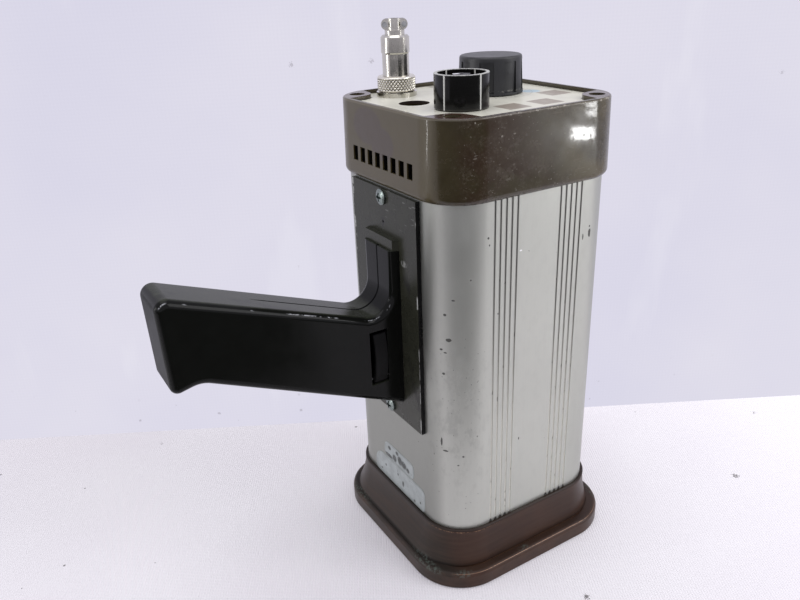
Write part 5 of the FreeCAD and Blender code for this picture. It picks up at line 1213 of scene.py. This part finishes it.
@dataclass
class Housing(SubAssembly):
    """Square tube, bezel, cap and their screws, with two bare labels on the tube."""

    nodes: tuple[str, ...] = ("body_extrusion", "rear_cap", "rear_cap_screws", "front_bezel_screws")
    tube_corner: float = 0.021
    corner_steps: int = 12
    skirt_crease: float = math.radians(40)
    side_flare: float = 0.0054
    near_flare: float = 0.0021
    skirt_rings: tuple[Triple, ...] = (
        (0.03055, 0.0012, 0.0), (0.03045, 0.00155, 0.0), (0.0301, 0.0018, 0.0), (0.0288, 0.0018, 0.0),
        (0.0265, 0.0016, 0.04), (0.0230, 0.0016, 0.14), (0.0190, 0.0016, 0.32), (0.0150, 0.0016, 0.57),
        (0.0120, 0.0016, 0.80), (0.0102, 0.0016, 0.96), (0.0098, 0.0016, 1.0), (0.00945, 0.0016, 1.0),
        (0.00945, 0.0007, 0.0), (0.0300, 0.0007, 0.0))
    label_thickness: float = 0.00012
    label_steps: int = 6
    paper: Colour = (0.41, 0.445, 0.445)
    labels: tuple[Label, ...] = (
        Label("lower_label", (-0.0263, 0.0304), (0.0246, 0.0449), 0.003, 0.009, (
            (-4.8, 36.1, 0.9, 1.8), (0.4, 39.4, 0.6, 0.9), (-16.2, 32.4, 0.8, 0.8),
            (-22.0, 34.8, 0.7, 0.8), (13.3, 38.1, 0.8, 0.8), (18.0, 33.5, 0.8, 0.6))),
        Label("upper_label", (-0.0163, 0.0452), (0.0140, 0.0553), 0.0036, 0.0045, (
            (8.6, 52.1, 1.5, 1.2), (0.6, 53.0, 1.5, 1.2), (9.5, 46.8, 4.0, 1.1), (3.4, 48.2, 2.0, 2.2),
            (-2.1, 49.8, 2.2, 2.6), (-6.2, 49.3, 2.6, 2.2), (-10.2, 48.3, 1.6, 1.4))))

    def build(self) -> None:
        """Dresses the housing, adds the bezel's skirt and sticks the labels on."""
        super().build()
        self.shop.dress_nodes(["front_bezel"], BEZEL)
        piece = self.shop.add_piece("bezel_skirt", self.skirt_mesh(), BEZEL, "housing",
                                    self.shop.slot_of("front_bezel"))
        shade_smooth(piece, self.skirt_crease)
        for label in self.labels:
            self.add_label(label)

    def skirt_mesh(self) -> bmesh.types.BMesh:
        """Bridges rings around the tube into the bezel's lip and the skirt that flares under it.

        Returns:
            The skirt's mesh.
        """
        mesh = bmesh.new()
        rings = [self.add_ring(mesh, bead + self.side_flare * share, bead + self.near_flare * share, level)
                 for level, bead, share in self.skirt_rings]
        for lower, upper in zip(rings, rings[1:] + rings[:1]):
            bmesh.ops.bridge_loops(mesh, edges=lower + upper)
        return mesh

    def add_ring(self, mesh: bmesh.types.BMesh, side: float, near: float,
                 level: float) -> list[bmesh.types.BMEdge]:
        """Adds one closed ring of edges around the tube.

        Args:
            mesh: The mesh it goes into.
            side: How far it stands out from the tube's sides and far face.
            near: How far it stands out from the tube's -Y face.
            level: Its height.

        Returns:
            The ring's edges.
        """
        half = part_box("body_extrusion")[1].x
        before = set(mesh.edges)
        made = bmesh.ops.create_grid(mesh, x_segments=1, y_segments=1, size=0.5)
        size = (2 * (half + side), 2 * half + side + near, 1.0)
        bmesh.ops.scale(mesh, vec=size, verts=made["verts"])
        bmesh.ops.translate(mesh, vec=(0, (side - near) / 2, level), verts=made["verts"])
        bmesh.ops.bevel(mesh, geom=made["verts"], offset=self.tube_corner + side, affect="VERTICES",
                        segments=self.corner_steps, profile=0.5, material=-1)
        edges = [edge for edge in mesh.edges if edge not in before]
        sheet = {face for edge in edges for face in edge.link_faces}
        bmesh.ops.delete(mesh, geom=list(sheet), context="FACES_ONLY")
        return edges

    def add_label(self, label: Label) -> None:
        """Makes a thin label on the tube's -X face.

        Args:
            label: Its sizes and its wear.
        """
        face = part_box("body_extrusion")[0].x
        mesh = bmesh.new()
        bmesh.ops.create_grid(mesh, x_segments=1, y_segments=1, size=0.5)
        low, high = label.low, label.high
        bmesh.ops.scale(mesh, vec=(high[0] - low[0], high[1] - low[1], 1.0), verts=mesh.verts)
        far_corner = min(mesh.verts, key=lambda point: point.co.x - point.co.y)
        others = [point for point in mesh.verts if point is not far_corner]
        for points, offset in ((others, label.corner), ([far_corner], label.torn)):
            bmesh.ops.bevel(mesh, geom=points, offset=offset, affect="VERTICES",
                            segments=self.label_steps, profile=0.5, material=-1)
        turn = Matrix.Rotation(math.radians(90), 4, "X")
        spin = Matrix.Rotation(math.radians(-90), 4, "Z")
        bmesh.ops.transform(mesh, matrix=spin @ turn, verts=mesh.verts)
        made = bmesh.ops.extrude_face_region(mesh, geom=mesh.faces[:])
        bmesh.ops.translate(mesh, vec=(-self.label_thickness, 0, 0), verts=raised_points(made))
        middle = Vector((face, (low[0] + high[0]) / 2, (low[1] + high[1]) / 2))
        bmesh.ops.translate(mesh, vec=middle, verts=mesh.verts)
        finish = LabelPaper(label.name + "_paper", self.paper, 0.42, mottling=0.12, mottle_size=5,
                            low=(low[0] / MM, low[1] / MM), high=(high[0] / MM, high[1] / MM),
                            wear=0.1, scuffs=label.scuffs)
        self.shop.add_piece(label.name, mesh, finish, "housing")


@dataclass
class Panel(SubAssembly):
    """The cream control panel."""

    nodes: tuple[str, ...] = ("control_panel",)


@dataclass
class Lamp(SubAssembly):
    """Window, reflector and flash tube at the lamp end."""

    nodes: tuple[str, ...] = ("lens_window", "lens_gasket", "reflector_snap_ring", "reflector",
                              "lamp_socket", "flash_tube", "flash_tube_electrodes")


@dataclass
class FrequencyControl(SubAssembly):
    """Large fluted knob with its potentiometer."""

    nodes: tuple[str, ...] = ("frequency_knob", "frequency_knob_screw", "potentiometer_shaft",
                              "potentiometer_nut", "potentiometer_body")


@dataclass
class RangeControl(SubAssembly):
    """Small open knob with white lines, and its rotary switch."""

    nodes: tuple[str, ...] = ("range_knob_hub", "rotary_switch_shaft", "rotary_switch_nut",
                              "rotary_switch_body")
    view_angle: float = -126.9
    line_turns: tuple[float, ...] = (-36.8, 43.0, 147.0, 220.0)

    def build(self) -> None:
        """Dresses the control, with the lines where they stand on the sleeve."""
        super().build()
        angles = tuple(self.view_angle + turn for turn in self.line_turns)
        self.shop.dress_nodes(["range_knob_sleeve"], replace(FINISHES["sleeve_black"], angles=angles))
        self.shop.dress_nodes(["range_collet_nut"], BLACKENED)


@dataclass
class Connector(SubAssembly):
    """Panel socket and locking plug, with a diamond-knurled ring and an empty cable clamp."""

    nodes: tuple[str, ...] = ("socket_shell", "socket_insulator", "socket_contacts", "socket_nut",
                              "plug_shell", "plug_insert", "plug_pins", "cable_clamp",
                              "cable_clamp_saddle", "cable_clamp_screws")
    axis: Pair = (-0.0211, 0.0346)
    bore: float = 0.00795
    neck: float = 0.00665
    lip: float = 0.0014
    bevel: float = 0.0006
    margin: float = 0.0009
    diamonds: int = 34
    steps_each: int = 8
    rows: int = 30
    knurl_rows: float = 2.5
    knurl_depth: float = 0.0006
    knurled_side: int = 4
    ring_crease: float = math.radians(62)

    def build(self) -> None:
        """Dresses the connector and cuts the ring's knurl."""
        super().build()
        self.shop.smooth_node("plug_coupling_ring")
        piece = self.shop.add_piece("knurled_ring", self.ring_mesh(), self.ring_finish(), "coupling_ring",
                                    "nickel", ["plug_coupling_ring"])
        shade_smooth(piece, self.ring_crease)

    def ring_finish(self) -> Finish:
        """The ring's plating, a little yellower and duller than the shell's."""
        low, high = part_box("plug_coupling_ring")
        return KnurledPlating("ring_nickel", (0.80, 0.77, 0.68), 0.26, 1.0, mottling=0.06, mottle_size=4,
                              tarnish=(0.2, 0.17, 0.11), dulled=0.3,
                              axis=tuple(part / MM for part in self.axis),
                              foot=(low.z + self.margin) / MM, top=(high.z - self.margin) / MM,
                              diamonds=self.diamonds, rows=self.knurl_rows)

    def ring_mesh(self) -> bmesh.types.BMesh:
        """Spins the ring's section and presses the diamonds into it.

        Returns:
            The ring's mesh.
        """
        low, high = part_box("plug_coupling_ring")
        outer = (high.x - low.x) / 2
        section = [(self.bore, low.z), (outer - self.bevel, low.z), (outer, low.z + self.bevel),
                   (outer, low.z + self.margin), (outer, high.z - self.margin),
                   (outer, high.z - self.bevel), (outer - self.bevel, high.z), (self.neck, high.z),
                   (self.neck, high.z - self.lip), (self.bore, high.z - self.lip)]
        mesh = bmesh.new()
        corners = [mesh.verts.new((radius, 0, level)) for radius, level in section]
        edges = [mesh.edges.new((corners[spot - 1], corners[spot])) for spot in range(len(corners))]
        bmesh.ops.subdivide_edges(mesh, edges=[edges[self.knurled_side]], cuts=self.rows)
        bmesh.ops.spin(mesh, geom=mesh.verts[:] + mesh.edges[:], cent=(0, 0, 0), axis=(0, 0, 1),
                       angle=math.tau, steps=self.diamonds * self.steps_each, use_merge=True)
        bmesh.ops.remove_doubles(mesh, verts=mesh.verts, dist=HAIR / 10)
        self.press_diamonds(mesh, outer, low.z + self.margin, high.z - self.margin)
        bmesh.ops.translate(mesh, vec=(*self.axis, 0), verts=mesh.verts)
        return mesh

    def press_diamonds(self, mesh: bmesh.types.BMesh, outer: float, foot: float, top: float) -> None:
        """Sinks the grooves that cross on the ring's outside.

        Args:
            mesh: The spun ring about the origin.
            outer: Its outside radius.
            foot: Where the knurl starts.
            top: Where the knurl ends.
        """
        for vert in mesh.verts:
            radius = math.hypot(vert.co.x, vert.co.y)
            if radius < outer - HAIR or not foot + HAIR < vert.co.z < top - HAIR:
                continue
            turn = math.atan2(vert.co.y, vert.co.x) / math.tau * self.diamonds
            climb = (vert.co.z - foot) / (top - foot) * self.knurl_rows
            sunk = max(ridge(turn + climb), ridge(turn - climb))
            shrink = 1 - self.knurl_depth * sunk / radius
            vert.co.x *= shrink
            vert.co.y *= shrink


def ridge(place: float, steepness: float = 3.4) -> float:
    """Depth share of a V-shaped groove at each whole number."""
    return max(1 - abs(place - round(place)) * steepness, 0.0)


@dataclass
class Grip(SubAssembly):
    """Handle plate, two-part pistol grip and thumb bar."""

    nodes: tuple[str, ...] = ("handle_plate", "handle_near_half", "handle_far_half",
                              "handle_joining_screws", "handle_mount_screws", "thumb_bar",
                              "thumb_bar_pin", "handle_switch_plunger", "handle_switch_body")

    def build(self) -> None:
        """Dresses the grip."""
        super().build()
        self.shop.dress_nodes(["handle_plate_screws"], DARK_ZINC)


@dataclass
class Electronics(SubAssembly):
    """Chassis, circuit board, capacitor and coils inside the tube."""

    nodes: tuple[str, ...] = ("chassis", "shelf_screws", "main_circuit_board", "board_spacers",
                              "board_screws", "film_capacitors", "heat_sink", "power_transistor",
                              "storage_capacitor", "capacitor_clip", "transformer_core",
                              "transformer_coil", "transformer_strap", "trigger_coil")


@dataclass
class Lamplight:
    """One soft studio lamp."""

    name: str
    place: Triple
    target: Triple
    width: float
    height: float
    power: float
    colour: Colour = (1.0, 1.0, 1.0)

    def add(self) -> None:
        """Hangs the lamp and turns it to its target."""
        data = bpy.data.lights.new(self.name, "AREA")
        data.shape = "RECTANGLE"
        data.size = self.width
        data.size_y = self.height
        data.energy = self.power
        data.color = self.colour
        lamp = linked(bpy.data.objects.new(self.name, data))
        turn = (Vector(self.target) - Vector(self.place)).to_track_quat("-Z", "Y")
        lamp.matrix_world = Matrix.Translation(self.place) @ turn.to_matrix().to_4x4()


@dataclass
class Studio:
    """Pale cloth floor, pale wall, a dark sheet of painted shade that only gloss shows, soft lamps and the
    camera.
    """

    focal_length: float = 33.33
    sensor: float = 36.0
    near_clip: float = 0.01
    camera_place: Triple = (-0.2172, -0.2900, 0.2941)
    camera_right: Triple = (0.8504, -0.5249, -0.0364)
    camera_up: Triple = (0.2422, 0.3292, 0.9127)
    floor_radius: float = 4.0
    floor_steps: int = 96
    wall_left: Pair = (-0.2372, 0.2385)
    wall_right: Pair = (0.2670, -0.0416)
    wall_reach: float = 2.5
    wall_height: float = 3.0
    shade_near: float = 0.10
    shade_far: float = 3.0
    shade_turn: Pair = (-120.0, 80.0)
    shade_colour: Colour = (0.07, 0.07, 0.07)
    shade_lift: float = 0.002
    shade_steps: int = 48
    floor_glow: float = 0.16
    world_light: float = 0.52
    lamps: tuple[Lamplight, ...] = (
        Lamplight("key", (0.9, -1.1, 1.1), (0, 0, 0.1), 0.9, 0.9, 8.0),
        Lamplight("top", (-0.1, 0.1, 1.6), (0, 0, 0.0), 1.2, 1.2, 8.0),
        Lamplight("left_strip", (-1.08, 0.38, 0.16), (0, 0, 0.16), 0.05, 0.55, 1.3),
        Lamplight("left_window", (-1.15, 0.25, 0.47), (-0.02, 0.03, 0.29), 0.7, 0.3, 1.0),
        Lamplight("right_strip", (0.66, -0.68, 0.36), (-0.02, 0.03, 0.29), 0.08, 0.30, 0.5),
        Lamplight("low_glint", (0.629, -0.66, 0.074), (0.021, -0.05, 0.227), 0.034, 0.018, 0.22),
        Lamplight("high_glint", (0.646, -0.66, 0.110), (0.025, -0.05, 0.235), 0.016, 0.024, 0.06),
    )
    cloth_dark: Colour = (0.76, 0.725, 0.79)
    cloth_light: Colour = (0.80, 0.775, 0.83)
    rib_tint: Colour = (0.6, 0.58, 0.63)
    crumb_tint: Colour = (0.07, 0.06, 0.06)
    wall_dark: Colour = (0.70, 0.685, 0.81)
    wall_light: Colour = (0.765, 0.745, 0.84)
    weave_tint: Colour = (0.55, 0.53, 0.66)
    crease_tint: Colour = (0.86, 0.85, 0.92)
    speck_tint: Colour = (0.30, 0.28, 0.32)
    sky_light: Colour = (0.98, 0.97, 1.0)
    sky_seen: Colour = (0.745, 0.73, 0.835)

    def build(self) -> None:
        """Sets up everything around the object."""
        self.add_floor()
        self.add_wall()
        self.add_painted_shade_front()
        self.light_world()
        for lamp in self.lamps:
            lamp.add()
        self.add_camera()
        bpy.context.scene.view_settings.view_transform = "Standard"

    def add_flat(self, name: str, mesh: bmesh.types.BMesh, material: bpy.types.Material,
                 seen: Seen = Seen.BY_ALL) -> None:
        """Makes a stage piece of a mesh.

        Args:
            name: Its name.
            mesh: Its mesh, which is used up.
            material: Its material.
            seen: Which rays meet it.
        """
        flat = to_object(name, mesh)
        flat.data.materials.append(material)
        flat.visible_shadow = flat.visible_diffuse = seen is Seen.BY_ALL
        flat.visible_camera = flat.visible_transmission = seen is not Seen.BY_GLOSS

    def add_floor(self) -> None:
        """Lays the cloth that the object stands on."""
        mesh = bmesh.new()
        bmesh.ops.create_circle(mesh, cap_ends=True, segments=self.floor_steps, radius=self.floor_radius)
        self.add_flat("floor", mesh, self.cloth())

    def cloth(self) -> bpy.types.Material:
        """White cloth with a fine weave and a few dark crumbs, which glows to the camera, gloss and glass,
        more strongly towards +X as painted light.

        Returns:
            The material.
        """
        bench = new_material("white_cloth")
        weave = bench.x.folded(1.1).rise(0.1, 0.5) * bench.y.folded(1.1).rise(0.1, 0.5)
        ribs = (bench.x * 0.87 + bench.y * -0.49).folded(1.4).rise(0.1, 0.6)
        colour = bench.mottled(0.006, self.cloth_dark, self.cloth_light)
        colour = bench.mixed(ribs * 0.10, colour, self.rib_tint)
        flat = (bench.x, bench.y)
        crumbs = bench.specks(22.0, 1.0, 0.14, flat).most(bench.specks(70.0, 2.0, 0.25, flat))
        colour = bench.mixed(crumbs * 0.8, colour, self.crumb_tint)
        relief = {"Height": weave + ribs, "Strength": 0.5, "Distance": 0.25 * MM}
        bump = bench.node("ShaderNodeBump", {}, relief)
        inputs = {"Base Color": colour, "Roughness": 0.85, "Normal": bump}
        cloth = bench.node("ShaderNodeBsdfPrincipled", {}, inputs)
        # painted light: the glow grows towards +X, a pool of light on the key lamp's side
        strength = self.seen(bench) * (bench.x.rise(-150.0, 350.0) * 0.22 + self.floor_glow)
        glow = bench.glow(colour, strength)
        bench.close(bench.node("ShaderNodeAddShader", {}, {0: cloth, 1: glow}))
        bench.owner.cycles.emission_sampling = "NONE"
        return bench.owner

    def seen(self, bench: Bench) -> Wire:
        """1 for rays from the camera, from gloss and through glass, and 0 for the rest."""
        camera = bench.node("ShaderNodeLightPath", {}, {}, output="Is Camera Ray")
        return camera.most(camera.sibling("Is Glossy Ray")).most(camera.sibling("Is Transmission Ray"))

    def add_wall(self) -> None:
        """Stands the pale wall behind the object. It is seen from its front only, and throws no shadow."""
        left, right = Vector((*self.wall_left, 0)), Vector((*self.wall_right, 0))
        along = (right - left).normalized()
        mesh = bmesh.new()
        ends = (left - along * self.wall_reach, right + along * self.wall_reach)
        edge = mesh.edges.new([mesh.verts.new(end) for end in ends])
        made = bmesh.ops.extrude_edge_only(mesh, edges=[edge])
        bmesh.ops.translate(mesh, vec=(0, 0, self.wall_height), verts=raised_points(made))
        mesh.faces.ensure_lookup_table()
        mesh.normal_update()
        if mesh.faces[0].normal.dot(Vector(self.camera_place) - left) < 0:
            bmesh.ops.reverse_faces(mesh, faces=mesh.faces)
        self.add_flat("wall", mesh, self.wall_paint(), Seen.BY_VIEW_AND_GLOSS)

    def wall_paint(self) -> bpy.types.Material:
        """Pale lavender, clear from behind.

        Returns:
            The material.
        """
        bench = new_material("pale_wall")
        colour = bench.mottled(0.004, self.wall_dark, self.wall_light)
        along = bench.x * 0.87 - bench.y * 0.49
        weave = along.folded(2.2).rise(0.2, 0.9) * 0.5 + bench.z.folded(2.2).rise(0.2, 0.9) * 0.5
        colour = bench.mixed(weave * 0.06, colour, self.weave_tint)
        creases = bench.noise(0.02, 4.0, (1.0, 1.0, 0.3)).rise(0.58, 0.68)
        colour = bench.mixed(creases * 0.2, colour, self.crease_tint)
        flat = (along, bench.z)
        low = bench.specks(14.0, 1.3, 0.3, flat) * bench.z.rise(45.0, 5.0)
        specks = bench.specks(50.0, 1.4, 0.3, flat).most(low)
        colour = bench.mixed(specks * 0.45, colour, self.speck_tint)
        behind = bench.node("ShaderNodeNewGeometry", {}, {}, output="Backfacing")
        bench.close(bench.blend(behind, bench.glow(colour), bench.clear()))
        return bench.owner

    def add_painted_shade_front(self) -> None:
        """Lays a dark sheet of painted shade with soft edges in front of the object, which only gloss and
        metal show.
        """
        bench = new_material("painted_shade_front")
        radius, _ = bench.polar(0.0, 0.0)
        near = bench.x.rise(-20.0, 70.0) * 220.0 + bench.x.rise(150.0, 400.0) * 260.0 + 220.0
        front = (bench.y + bench.x.most(0.0) * 0.8).rise(-70.0, -190.0)
        share = (radius - near).rise(-50.0, 40.0) * front
        bench.close(bench.blend(share, bench.clear(), bench.glow(self.shade_colour)))
        mesh = bmesh.new()
        first, last = self.shade_turn
        reaches = (self.shade_near, self.shade_far)
        ends = [mesh.verts.new((0, -reach, self.shade_lift)) for reach in reaches]
        edge = mesh.edges.new(ends)
        turn = Matrix.Rotation(math.radians(first), 3, "Z")
        bmesh.ops.rotate(mesh, cent=(0, 0, 0), matrix=turn, verts=mesh.verts)
        bmesh.ops.spin(mesh, geom=[*ends, edge], cent=(0, 0, 0), axis=(0, 0, 1),
                       angle=math.radians(last - first), steps=self.shade_steps)
        self.add_flat("painted_shade_front", mesh, bench.owner, Seen.BY_GLOSS)

    def light_world(self) -> None:
        """Gives the world an even pale light, and a pale background to the camera, gloss and glass."""
        world = bpy.data.worlds.new("pale_world")
        bpy.context.scene.world = world
        bench = Bench(world, "ShaderNodeOutputWorld")
        light = bench.node("ShaderNodeBackground", {},
                           {"Color": self.sky_light, "Strength": self.world_light})
        shown = bench.node("ShaderNodeBackground", {}, {"Color": self.sky_seen, "Strength": 1.0})
        bench.close(bench.blend(self.seen(bench), light, shown))

    def add_camera(self) -> None:
        """Puts the camera where the photograph was taken from."""
        data = bpy.data.cameras.new("camera")
        data.lens = self.focal_length
        data.sensor_width = self.sensor
        data.clip_start = self.near_clip
        camera = linked(bpy.data.objects.new("camera", data))
        right, up = Vector(self.camera_right).normalized(), Vector(self.camera_up).normalized()
        back = right.cross(up)
        turn = Matrix((right, up, back)).transposed()
        camera.matrix_world = Matrix.Translation(self.camera_place) @ turn.to_4x4()
        bpy.context.scene.camera = camera


def start_empty() -> None:
    """Takes away the objects that Blender starts with."""
    for thing in list(bpy.data.objects):
        bpy.data.objects.remove(thing)


def corners(box: tuple[Vector, Vector]) -> list[list[float]]:
    """A box's corners as plain numbers."""
    return [list(box[0]), list(box[1])]


def main() -> None:
    """Builds the object and the studio."""
    logging.basicConfig(level=logging.INFO, format="%(name)s: %(message)s")
    start_empty()
    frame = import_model()
    shop = Workshop(frame)
    builders: tuple[type[SubAssembly], ...] = (
        Housing, Panel, Lamp, FrequencyControl, RangeControl, Connector, Grip, Electronics)
    for builder in builders:
        log.info("building %s", builder.__name__)
        builder(shop).build()
    Studio().build()


if __name__ == "__main__":
    main()
